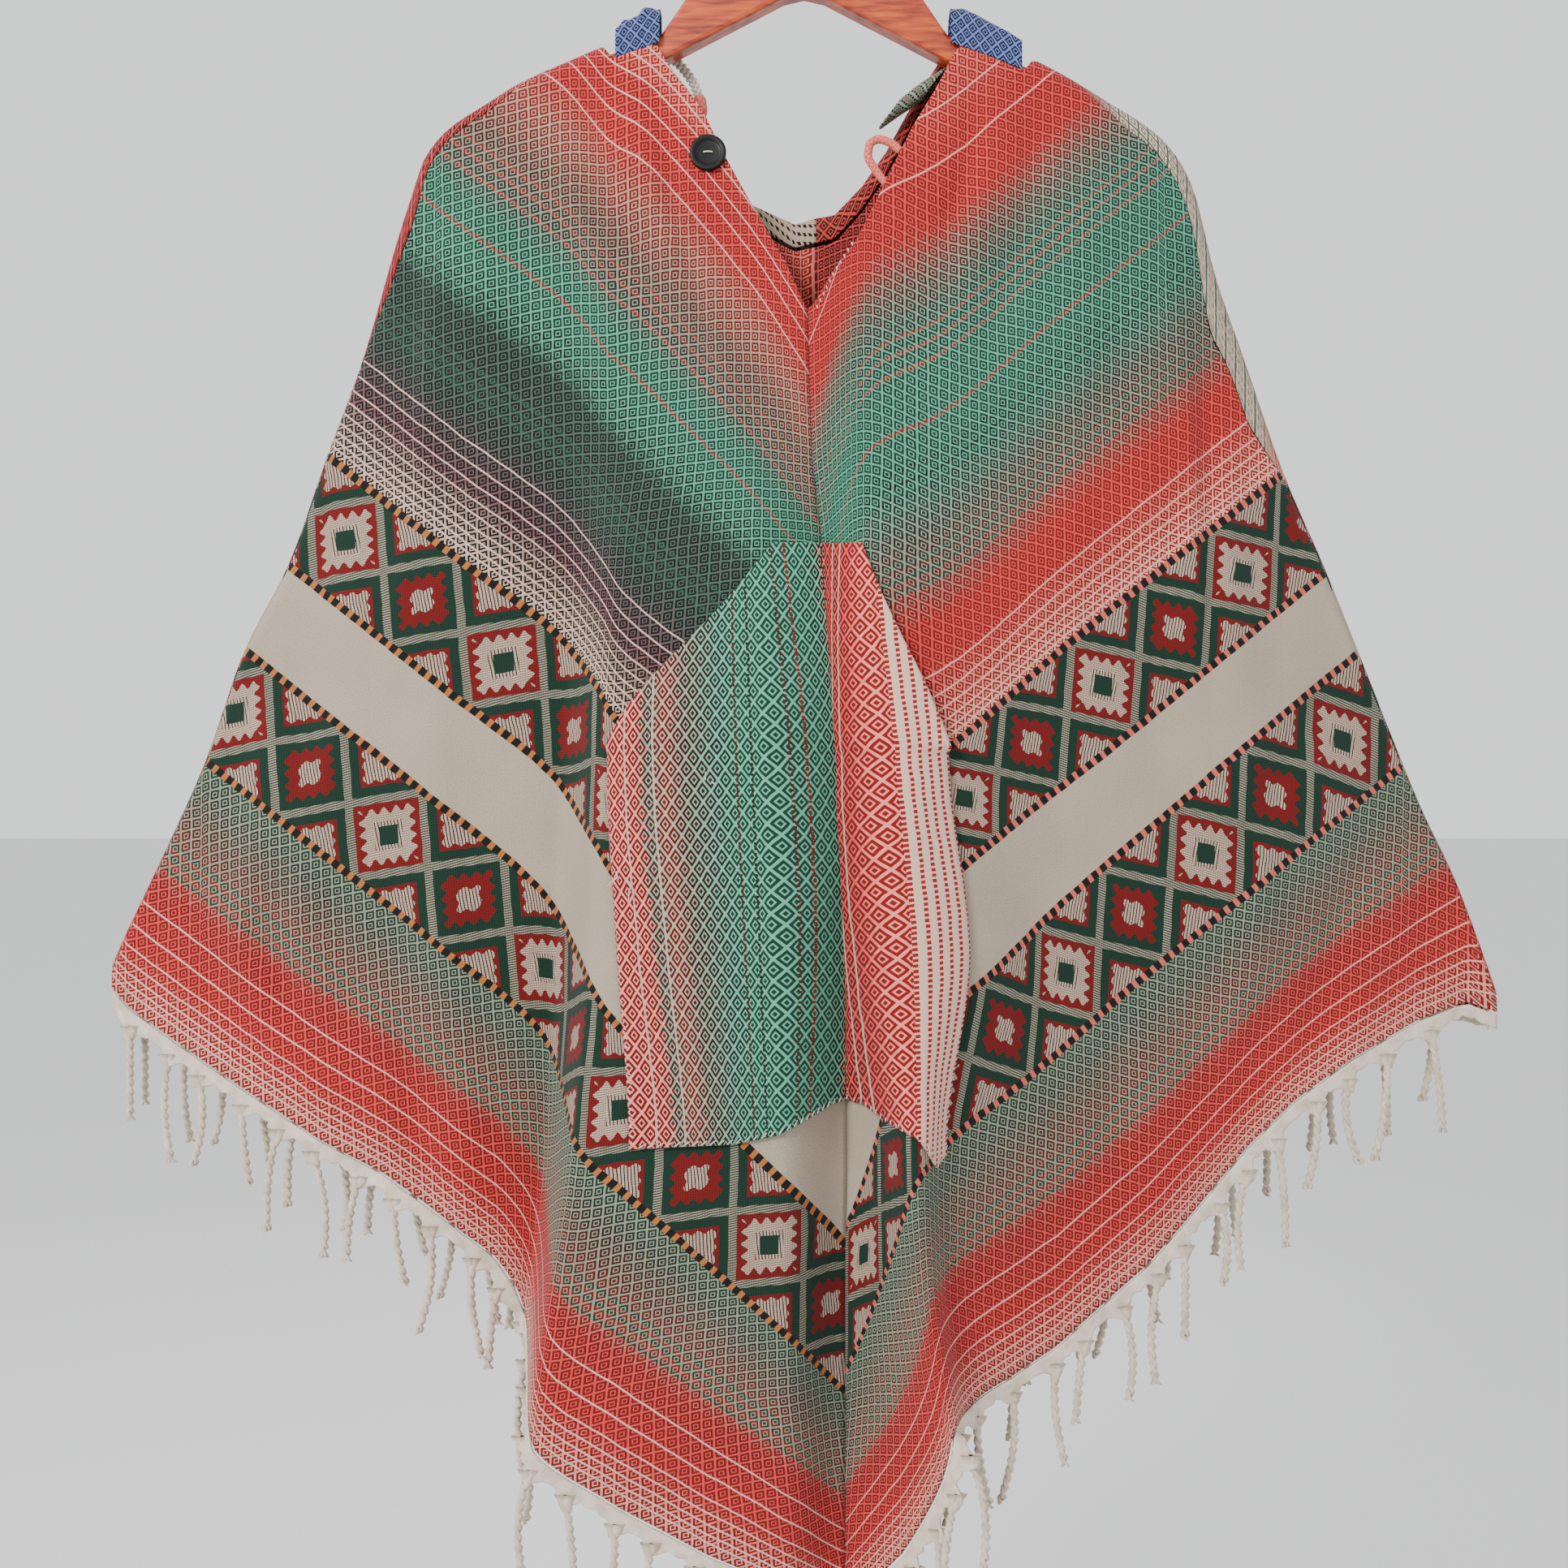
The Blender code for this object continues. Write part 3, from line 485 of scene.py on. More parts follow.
# %% [markdown]
# ## Rows of the weave
# The weave runs in rows that slope down to the middle seam from both sides, at about 38.5 degrees. The
# pattern has to bend with the folds, so each panel carries its own map: v is the distance across the rows
# and u the distance along them. Where four row lines cross each fold line was measured; between them v
# is read by interpolation, and u follows from v and the drop.

# %% Row lines by place: upper edge of the first motif band, its lower edge, the second band's two edges
ROW_SLOPE = math.radians(38.5)
ROW_V = (0.0, 69.0, 127.0, 198.0)
HEM_V = 360.0
LEFT_ROWS = (
    # place, drop of each of the four lines
    (-446, 290, 379, 455, 546),
    (-300, 406, 495, 571, 661),
    (-220, 469, 558, 634, 724),
    (-175, 521, 610, 690, 776),
    (-145, 553, 650, 742, 843),
    (-112, 566, 668, 770, 874),
    (-38, 640, 748, 862, 959),
    (0, 700, 806, 905, 998),
)
RIGHT_ROWS = (
    (0, 704, 806, 894, 986),
    (48, 612, 690, 773, 866),
    (90, 590, 666, 746, 842),
    (165, 525, 612, 686, 778),
    (300, 418, 503, 571, 666),
    (446, 302, 384, 452, 548),
)


# How u grows with the distance across the cloth and with the drop
LEFT_SLOPE = (0.783, 0.627)
RIGHT_SLOPE = (-0.908, 0.646)


def row_map(place, drop, across, rows, hem):
    """u and v in mm for points of a panel, from its row lines."""
    table = np.array(rows, float)
    lines = [smooth(place, table[:, 0], table[:, number]) for number in range(1, 5)]
    upper = ROW_V[0] - (lines[0] - drop) * math.cos(ROW_SLOPE)
    v = upper
    for number in range(3):
        part = (drop - lines[number]) / (lines[number + 1] - lines[number])
        between = ROW_V[number] + part * (ROW_V[number + 1] - ROW_V[number])
        v = np.where(drop > lines[number], between, v)
    part = (drop - lines[3]) / (on_line(place, hem) - lines[3])
    v = np.where(drop > lines[3], ROW_V[3] + part * (HEM_V - ROW_V[3]), v)
    slope = LEFT_SLOPE if rows is LEFT_ROWS else RIGHT_SLOPE
    u = slope[0] * across + slope[1] * drop
    return u, v


def unfolded(place, drop, still):
    """Distance across the cloth along its folds, equal to the seen x at the place called still."""
    levels = (200.0, 400.0, 600.0, 800.0, 1000.0)
    fine = np.linspace(-441.0, 441.0, 1200)
    tables = []
    for level in levels:
        line = front_point(fine, np.full(len(fine), level))
        along = np.concatenate([[0.0], np.cumsum(np.linalg.norm(np.diff(line, axis=0), axis=1))]) / MM
        seen = from_folds(np.array([still]), np.array([level]), 1)[0]
        tables.append(np.interp(place, fine, along - np.interp(still, fine, along) + seen))
    tables = np.array(tables)
    step = np.clip((drop - levels[0]) / (levels[1] - levels[0]), 0.0, len(levels) - 1.001)
    low = step.astype(int)
    part = step - low
    points = np.arange(len(place))
    return tables[low, points] * (1.0 - part) + tables[low + 1, points] * part


# %% [markdown]
# ## Cloth panels
# Cloth this heavy is a sheet about 2 mm thick. It could be simulated, but the photograph shows exactly
# how this one hangs, so each panel is a fine grid laid on the measured shape, with the smaller creases
# added as soft troughs and ridges, and Solidify gives it its wall.

# %% Creases: start and end as x and drop, half width, height out of the cloth (negative is a trough)
FRONT_CREASES = (
    (-395, 600, -330, 780, 16, 3.2),
    (-380, 640, -300, 800, 12, -2.4),
    (-325, 640, -300, 830, 14, 2.6),
    (-262, 700, -240, 880, 13, -2.6),
    (-235, 560, -215, 860, 14, 2.4),
    (-205, 240, -190, 520, 16, 2.2),
    (-160, 180, -120, 330, 9, 2.4),
    (-142, 172, -100, 300, 7, -2.2),
    (-118, 165, -78, 290, 8, 2.4),
    (-92, 190, -62, 330, 7, -2.0),
    (-60, 300, -30, 440, 8, 1.6),
    (112, 165, 92, 260, 8, -3.0),
    (135, 165, 98, 300, 9, 2.4),
    (150, 190, 120, 330, 8, -2.4),
    (185, 240, 165, 470, 14, 2.2),
    (240, 330, 225, 600, 16, -2.0),
    (330, 560, 285, 640, 10, -3.0),
    (300, 640, 262, 800, 13, 2.8),
    (360, 640, 320, 770, 12, -2.6),
    (390, 660, 350, 770, 11, 2.4),
    (210, 700, 190, 860, 14, -2.4),
)
SEAM_DIP = 1.1


def crease_height(x, drop, creases):
    """How far the listed creases lift each point."""
    total = np.zeros_like(x)
    for x0, drop0, x1, drop1, width, height in creases:
        along = np.array([x1 - x0, drop1 - drop0], float)
        length = np.linalg.norm(along)
        along /= length
        t = ((x - x0) * along[0] + (drop - drop0) * along[1]) / length
        off = (x - x0) * -along[1] + (drop - drop0) * along[0]
        off = off + 2.5 * np.sin(t * 5.0 + x0)
        ends = np.clip(np.minimum(t + 0.25, 1.25 - t) / 0.5, 0.0, 1.0)
        uneven = 1.0 + 0.25 * np.sin(t * 7.0 + drop0)
        total += height * uneven * ends**2 * (3 - 2 * ends) * np.exp(-((off / width) ** 2))
    return total


def small_waves(x, drop, seed):
    """Slow unevenness of handwoven cloth, under a millimetre."""
    wave = np.sin(x / 17.0 + 1.3 * seed) * np.sin(drop / 23.0 + seed)
    wave += 0.6 * np.sin(x / 7.3 + drop / 11.0 + seed) + 0.5 * np.sin(drop / 8.7 - x / 13.0)
    return 0.22 * wave


# %% Build a sheet from a grid of points
def sheet_object(name, grid, uv, wall=WALL):
    rows, columns = grid.shape[:2]
    index = np.arange(rows * columns).reshape(rows, columns)
    corners = (index[:-1, :-1], index[:-1, 1:], index[1:, 1:], index[1:, :-1])
    faces = np.stack([corner.ravel() for corner in corners], axis=1)
    mesh = bpy.data.meshes.new(name)
    mesh.from_pydata(grid.reshape(-1, 3).tolist(), [], faces.tolist())
    layer = mesh.uv_layers.new(name="rows")
    layer.data.foreach_set("uv", uv.reshape(-1, 2)[faces.ravel()].astype(np.float32).ravel())
    made = bpy.data.objects.new(name, mesh)
    bpy.context.scene.collection.objects.link(made)
    mesh.polygons.foreach_set("use_smooth", np.ones(len(mesh.polygons), bool))
    solid = made.modifiers.new("wall", "SOLIDIFY")
    solid.thickness = wall * MM
    solid.offset = 0.0
    solid.use_quality_normals = True
    return made


def apply_modifiers(made):
    bpy.ops.object.select_all(action="DESELECT")
    made.select_set(True)
    bpy.context.view_layer.objects.active = made
    for modifier in list(made.modifiers):
        bpy.ops.object.modifier_apply(modifier=modifier.name)
    return made


def finish_piece(made, slot, *nodes):
    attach(made, "root")
    if nodes:
        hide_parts(*nodes)
    return made


# %% The front panels
def even_places(first, last, step, drop):
    """Places across the cloth that are evenly spaced along its surface at this drop."""
    fine = np.linspace(first, last, 1500)
    line = front_point(fine, np.full(len(fine), drop))
    along = np.concatenate([[0.0], np.cumsum(np.linalg.norm(np.diff(line, axis=0), axis=1))]) / MM
    count = int(along[-1] / step)
    return np.interp(np.linspace(0.0, along[-1], count), along, fine)


def row_drops(top, hem, step):
    """Drops from the top to the hem, closer together over the rounded shoulder."""
    count = int(np.max(hem - top) / step)
    share = np.linspace(0.0, 1.0, count) ** 1.12
    return top + (hem - top) * share[:, None]


def make_front(name, first, last, rows, seed):
    place = even_places(first, last, 3.6, 760.0)
    tops, hem = top_of_front(place)
    drop = row_drops(tops[0], hem, 3.8)
    place = np.broadcast_to(place, drop.shape)
    shape = drop.shape
    place = place.ravel()
    drop = drop.ravel()
    x = from_folds(place, drop, 1)
    half, fade = edge_depth(x, drop)
    out = crease_height(x, drop, FRONT_CREASES) * fade + small_waves(x, drop, seed) * fade
    out -= SEAM_DIP * np.exp(-((place / 3.0) ** 2))
    grid = front_point(place, drop, out).reshape(*shape, 3)
    still = -220.0 if rows is LEFT_ROWS else 165.0
    u, v = row_map(place, drop, unfolded(place, drop, still), rows, FRONT_HEM)
    uv = np.stack([u, v], axis=-1).reshape(*shape, 2) * MM
    made = sheet_object(name + "_cloth", grid, uv)
    apply_modifiers(made)
    print(name, len(made.data.polygons), "faces")
    return finish_piece(made, "woven_cotton", name)


front_left = make_front("front_left", -441.0, -0.25, LEFT_ROWS, 1.0)
front_right = make_front("front_right", 0.25, 441.0, RIGHT_ROWS, 2.0)

# %% [markdown]
# The back hangs behind with shallow folds. At the shoulders it comes over the edge to the front, so a
# narrow strip of it is seen there, beyond the shoulder seam.

# %% The back panels
def make_back(name, first, last, rows, seed):
    side = -1 if first < 0 and last <= BACK_SEAM else 1
    places = np.arange(first, last + 0.1, 4.4)
    places[-1] = last
    x = places
    ridge = on_curve(x, SHOULDER_LINE)
    lean = lean_of_edge(x)
    wrap = on_line(x, WRAP)
    open_by = on_line(x, RIDGE_OPEN)
    neck = np.maximum(on_line(x, BACK_NECK_LINE) - ridge, 0.0) * (np.abs(x) < 104)
    hem = on_line(x, BACK_HEM) - HEADER
    room = np.maximum(hem - ridge, 3.0) / 2.2
    grid = []
    drops = []
    steps = np.concatenate([np.linspace(-1.0, 0.0, 6), np.array([2.0, 4.0, 7.0, 10.0, 14.0, 18.0, 21.0])])
    for number, step in enumerate(steps):
        over = wrap * step if step <= 0 else np.full(len(x), step)
        rank = number * 5.0 / (len(steps) - 1)
        over = np.where(open_by > 0, np.maximum(over, open_by + rank * 1.5), over)
        most = np.where(open_by > 0, room, room * abs(rank - 2) / 3.0 + 0.01)
        drop = ridge + np.minimum(inset_at(x, np.abs(over)) / lean, most)
        inside = neck > 0
        drop = np.where(inside, ridge + neck + rank * 2.5, drop)
        toward = np.where(inside, 1.0, np.where(over == 0.0, 1.0, over))
        grid.append(back_point(x, drop, toward))
        drops.append(np.where(toward < 0, 2 * ridge - drop, drop))
        last_drop = drop
    for part in np.linspace(0.0, 1.0, 170)[1:]:
        drop = last_drop + (hem - last_drop) * part
        points = back_point(x, drop)
        half, fade = edge_depth(x, drop)
        crease = crease_height(-x, drop, FRONT_CREASES) * 0.8
        points[:, 1] += fade * (small_waves(x, drop, seed) + crease) * MM
        grid.append(points)
        drops.append(drop)
    grid = np.array(grid)
    drops = np.array(drops)
    place = np.broadcast_to(x, drops.shape)
    u, v = row_map(place.ravel(), drops.ravel(), place.ravel(), rows, BACK_HEM)
    uv = np.stack([u, v], axis=-1).reshape(*drops.shape, 2) * MM
    made = sheet_object(name + "_cloth", grid[:, ::-1], uv[:, ::-1])
    apply_modifiers(made)
    print(name, len(made.data.polygons), "faces")
    return finish_piece(made, "woven_cotton", name)


BACK_SEAM = 8.0
SEWN = 0.02
back_left = make_back("back_left", -441.0, BACK_SEAM - SEWN, LEFT_ROWS, 3.0)
back_right = make_back("back_right", BACK_SEAM + SEWN, 441.0, RIGHT_ROWS, 4.0)

# %% [markdown]
# ## Pocket
# The pocket is one flat piece laid over the middle seam and sewn at its top, lower sides and bottom. Its
# slanted upper sides are left open for the hands, so it stands a little away from the front there. It is
# made from the front's own points moved outwards, and so it follows every fold below it.

# %% The pocket
def pocket_levels(place, share):
    """Drops of the pocket's top, slant foot and lower edge as one run from 0 to 1."""
    bottom = on_line(place, POCKET_BOTTOM)
    upper = POCKET_TOP + (SLANT_END - POCKET_TOP) * share / 0.35
    lower = SLANT_END + (bottom - SLANT_END) * (share - 0.35) / 0.65
    return np.where(share < 0.35, upper, lower)


def make_pocket():
    columns = even_places(POCKET_SPAN[0], POCKET_SPAN[1], 2.6, 720.0)
    across = (columns - columns[0]) / (columns[-1] - columns[0])
    shares = np.linspace(0.0, 1.0, 130)
    grid = []
    maps = []
    for share in shares:
        slope = min(share / 0.35, 1.0)
        left = POCKET_TOP_SPAN[0] + (POCKET_SPAN[0] - POCKET_TOP_SPAN[0]) * slope
        right = POCKET_TOP_SPAN[1] + (POCKET_SPAN[1] - POCKET_TOP_SPAN[1]) * slope
        place = columns if slope >= 1.0 else left + (right - left) * across
        drop = pocket_levels(columns, share)
        slack = math.sin(math.pi * share) * POCKET_SLACK
        if slope < 1.0:
            from_side = 0.55 + 0.45 * np.sin(math.pi * across)
        else:
            from_side = np.sin(math.pi * across) ** 0.5
        sewn = WALL + GAP + (POCKET_SLANT_CLEAR if slope < 1.0 else 0.0)
        out = sewn + slack * from_side + small_waves(place, drop, 5.0)
        grid.append(front_point(place, drop, out))
        flat = from_folds(place, np.full(len(place), 720.0), 1) + 130.0
        maps.append(np.stack([flat, drop], axis=-1) * MM)
    made = sheet_object("pocket_cloth", np.array(grid), np.array(maps), 1.8)
    apply_modifiers(made)
    print("pocket", len(made.data.polygons), "faces")
    return finish_piece(made, "pocket_cotton", "pocket")


pocket = make_pocket()

# %% [markdown]
# ## Fringe
# The hem ends in a loose header and tassels: the warp threads were left long, gathered in bunches and
# twisted in two plies. One tassel is modelled as two strands that wind round each other and splay at the
# end, and it is repeated along the hem with a little change of length and lean each time.

# %% Points just beyond the hem
TASSEL_PITCH = 29.0


def hem_line(of_front, places, beyond):
    table = FRONT_HEM if of_front else BACK_HEM

    def on_cloth(place, lower):
        drop = on_line(place, table) - HEADER + lower
        return front_point(place, drop) if of_front else back_point(place, drop)

    base = on_cloth(places, 0.0)
    along = on_cloth(places + 4.0, 0.0) - on_cloth(places - 4.0, 0.0)
    down = on_cloth(places, 3.0) - on_cloth(places, -3.0)
    along /= np.linalg.norm(along, axis=1, keepdims=True)
    down -= along * np.sum(along * down, axis=1, keepdims=True)
    down /= np.linalg.norm(down, axis=1, keepdims=True)
    ends = np.minimum(np.abs(places - places[0]), np.abs(places - places[-1])) / 14.0
    ends = np.clip(ends, 0.0, 1.0)[:, None]
    down = down * ends + np.array([0.0, 0.0, -1.2]) * (1.0 - ends)
    return base + down * beyond * MM


# %% The header and tassels of one hem quarter
def make_tassel(root, wide, length, lean, bow, seed):
    """Verts and faces of one two-ply tassel that hangs down from its root."""
    verts = []
    faces = []
    rings = 22
    sides = 7
    for ply in range(2):
        first = len(verts)
        for ring in range(rings):
            t = ring / (rings - 1)
            gather = max(0.0, 1.0 - t / 0.16)
            splay = max(0.0, (t - 0.88) / 0.12)
            turn = 2 * math.pi * (t * length / 11.0) + seed + ply * math.pi
            apart = 1.3 + 0.9 * splay
            centre_x = lean * t + bow * math.sin(math.pi * t) + apart * math.cos(turn)
            centre_y = apart * math.sin(turn)
            centre_x = centre_x * (1 - gather) + (ply - 0.5) * wide * 0.62 * gather
            centre_y = centre_y * (1 - gather)
            thick = 1.62 * (1.0 - 0.25 * splay) + 0.5 * gather
            for side in range(sides):
                angle = 2 * math.pi * side / sides
                tuft = 1.0 + (0.5 * math.sin(side * 2.4 + seed) * splay)
                x = root[0] / MM + centre_x + thick * tuft * (1 + gather) * math.cos(angle)
                y = root[1] / MM + centre_y + thick * tuft * math.sin(angle)
                z = root[2] / MM + 4.0 - t * (length + 4.0)
                verts.append((x * MM, y * MM, z * MM))
        for ring in range(rings - 1):
            for side in range(sides):
                following = (side + 1) % sides
                low = first + ring * sides
                faces.append((low + side, low + following, low + sides + following, low + sides + side))
        faces.append(tuple(first + side for side in range(sides)))
        faces.append(tuple(first + (rings - 1) * sides + side for side in range(sides))[::-1])
    return verts, faces


def make_fringe(name, of_front, first, last):
    fine = np.linspace(first, last, 1200)
    gap = FRONT_HEADER_GAP if of_front else BACK_HEADER_GAP
    rim = hem_line(of_front, fine, HEADER)
    along = np.concatenate([[0.0], np.cumsum(np.linalg.norm(np.diff(rim, axis=0), axis=1))]) / MM
    columns = np.interp(np.linspace(0.0, along[-1], int(along[-1] / 3.0)), along, fine)
    rows = []
    maps = []
    length = np.interp(columns, fine, along)
    count = int((along[-1] - 24.0) // TASSEL_PITCH)
    roots = 16.0 + np.arange(count) * TASSEL_PITCH + 3.0 * np.sin(np.arange(count) * 2.3)
    nearest = np.min(np.abs(length[:, None] - roots[None, :]), axis=1)
    ragged = 1.3 * np.sin(length * 1.1) * np.sin(length * 0.37)
    reach = 9.0 + 9.5 * np.exp(-((nearest / 5.5) ** 2)) + ragged
    for share in np.linspace(0.0, 1.0, 8):
        beyond = (gap + (reach - gap) * share)[:, None]
        wave = 0.8 * np.sin(columns / 2.6) * share
        points = hem_line(of_front, columns, beyond)
        points[:, 1] += wave * MM
        rows.append(points)
        maps.append(np.stack([length, beyond[:, 0]], axis=-1) * MM)
    header = sheet_object(name + "_header", np.array(rows), np.array(maps), 1.5)
    apply_modifiers(header)
    verts = []
    faces = []
    for number in range(count):
        middle = roots[number]
        place = np.interp([middle], along, fine)
        ends = hem_line(of_front, np.concatenate([fine[:1], place, fine[-1:]]), HEADER - 3.0)
        length = 56.0 + 9.0 * math.sin(number * 1.7)
        lean = 8.0 * math.sin(number * 2.9)
        bow = 4.5 * math.sin(number * 4.1)
        new_verts, new_faces = make_tassel(ends[1], 8.0, length, lean, bow, number * 1.1)
        start = len(verts)
        verts += new_verts
        faces += [tuple(start + corner for corner in face) for face in new_faces]
    mesh = bpy.data.meshes.new(name + "_tassels")
    mesh.from_pydata(verts, [], faces)
    tassels = bpy.data.objects.new(name + "_tassels", mesh)
    bpy.context.scene.collection.objects.link(tassels)
    mesh.polygons.foreach_set("use_smooth", np.ones(len(mesh.polygons), bool))
    finish_piece(header, "cream_cotton")
    finish_piece(tassels, "cream_cotton", name)
    print(name, count, "tassels", len(mesh.polygons), "faces")
    return header, tassels


fringes = {}
for fringe_name, of_front, first, last in (
    ("fringe_front_left", True, -441.0, -0.25),
    ("fringe_front_right", True, 0.25, 441.0),
    ("fringe_back_left", False, -441.0, BACK_SEAM - 0.3),
    ("fringe_back_right", False, BACK_SEAM + 0.3, 441.0),
):
    fringes[fringe_name] = make_fringe(fringe_name, of_front, first, last)

# %% [markdown]
# ## Hood
# Off the head, the hood falls flat behind the back. Only its roll at the neck is seen from the front. It
# is two halves joined by a middle seam; each goes over the neck seam, down inside, round the crown and up
# again outside. Two pieces of blue cloth close its ends beside the neck.

# %% The hood halves
def make_hood(name, side):
    across = np.linspace(0.0, 1.0, 34)
    neck_x = BACK_SEAM + side * (SEWN + across * 84.0)
    seam = on_line(neck_x, BACK_NECK_LINE)
    roll = seam - 18.0 + 6.0 * across
    crown = 585.0 - 80.0 * across**3
    face = 320.0 - 120.0 * across**2
    close = np.sqrt(np.clip(1.0 - across**2, 0.0, 1.0))
    rows = []
    for drop, depth in (
        (seam - 3.0, 11.6),
        (seam - 9.0, 12.4),
        (roll + 1.0, 14.5),
        (roll - 2.2, 17.5),
        (roll + 1.0, 20.5),
        (roll + 14.0, 22.0),
    ):
        rows.append(np.stack([neck_x, drop, np.full(len(across), depth)], axis=-1))
    base = roll + 14.0
    for part, wide, depth in zip(
        (0.10, 0.28, 0.5, 0.72, 0.88, 0.97),
        (1.0, 1.16, 1.3, 1.38, 1.36, 1.3),
        (24.0, 27.0, 29.0, 30.0, 30.5, 31.0),
    ):
        x = BACK_SEAM + side * (SEWN + across * 84.0 * wide)
        rows.append(np.stack([x, base + (crown - base) * part, np.full(len(across), depth)], axis=-1))
    x = BACK_SEAM + side * (SEWN + across * 84.0 * 1.27)
    rows.append(np.stack([x, crown + 2.0, np.full(len(across), 34.5)], axis=-1))
    for part, wide in zip((0.97, 0.88, 0.72, 0.5, 0.28, 0.0), (1.3, 1.36, 1.38, 1.3, 1.22, 1.14)):
        x = BACK_SEAM + side * (SEWN + across * 84.0 * wide)
        swell = 38.0 + (5.0 + 15.0 * (1.0 - part)) * close
        rows.append(np.stack([x, face + (crown - face) * part, swell], axis=-1))
    rows = np.array(rows)
    stations = np.arange(len(rows))
    fine = np.linspace(0, len(rows) - 1, 110)
    shape = np.empty((len(fine), len(across), 3))
    for column in range(len(across)):
        for axis in range(3):
            shape[:, column, axis] = smooth(fine, stations, rows[:, column, axis])
    fold = np.clip((fine - 12.5) / 3.0, 0.0, 1.0)[:, None]
    crumple = 1.3 * np.sin(shape[..., 0] / 15.0 + shape[..., 1] / 31.0) * fold
    crumple = crumple * (1 - np.exp(-((across[None, :] / 0.05) ** 2)))
    points = seen_at(shape[..., 0], shape[..., 1], shape[..., 2] + crumple)
    steps = np.linalg.norm(np.diff(points, axis=0), axis=-1)
    down = np.concatenate([np.zeros((1, len(across))), np.cumsum(steps, axis=0)])
    uv = np.stack([points[..., 0], down], axis=-1)
    if side > 0:
        points = points[:, ::-1]
        uv = uv[:, ::-1]
    made = sheet_object(name + "_cloth", points, uv, 1.5)
    apply_modifiers(made)
    print(name, len(made.data.polygons), "faces")
    return finish_piece(made, "woven_cotton", name)


hood_left = make_hood("hood_left", -1)
hood_right = make_hood("hood_right", 1)

# %% The blue ends of the hood
def make_hood_end(name, side):
    inner, outer = (93.0, 138.0) if side > 0 else (92.0, 120.0)
    x = np.linspace(inner, outer, 36)
    ridge = on_curve(side * x, SHOULDER_LINE)
    rise = np.interp(x, (inner, inner + 8, outer), (10.5, 13.5, 7.5))
    share = (x - inner) / (outer - inner)
    deep = 0.35 if side > 0 else 1.7
    crumple = deep * (np.sin(share * 13.0 + 0.4) + 0.5 * np.sin(share * 29.0))
    start = ridge + 13.1
    rows = (
        (start, -11.0 - 0 * x),
        (start - 7.0, -11.0 - 0.3 * crumple),
        (ridge - rise * 0.6, -9.5 + crumple * 0.5),
        (ridge - rise + crumple * 0.5, -4.0 + crumple * 0.3),
        (ridge - rise * 0.95 + crumple * 0.5, 3.5 + 0 * x),
        (ridge - rise * 0.4, 10.0 + 0 * x),
        (ridge + 4.0, 12.6 + 0 * x),
        (ridge + 16.0, 13.1 + 0 * x),
        (ridge + 30.0, 13.1 + 0 * x),
    )
    stations = np.arange(len(rows))
    fine = np.linspace(0, len(rows) - 1, 60)
    shape = np.empty((len(fine), len(x), 3))
    for column in range(len(x)):
        shape[:, column, 0] = side * x[column]
        shape[:, column, 1] = smooth(fine, stations, [row[0][column] for row in rows])
        shape[:, column, 2] = smooth(fine, stations, [row[1][column] for row in rows])
    points = seen_at(shape[..., 0], shape[..., 1], shape[..., 2])
    steps = np.linalg.norm(np.diff(points, axis=0), axis=-1)
    down = np.concatenate([np.zeros((1, len(x))), np.cumsum(steps, axis=0)])
    uv = np.stack([points[..., 0], down], axis=-1)
    if side > 0:
        points = points[:, ::-1]
        uv = uv[:, ::-1]
    made = sheet_object(name + "_cloth", points, uv, 1.4)
    apply_modifiers(made)
    return finish_piece(made, "blue_cotton", name)


hood_end_left = make_hood_end("hood_end_left", -1)
hood_end_right = make_hood_end("hood_end_right", 1)
print("hood ends done")

# %% [markdown]
# ## Small pieces at the neck
# A button with its thread, the loop that it goes through, the free end of a plaited drawcord with its
# cloth tip, and the end of the casing that the cord runs in. Cords are tubes along a path, the plait is
# three strands that cross, and the button is a disc that was turned with a raised rim.

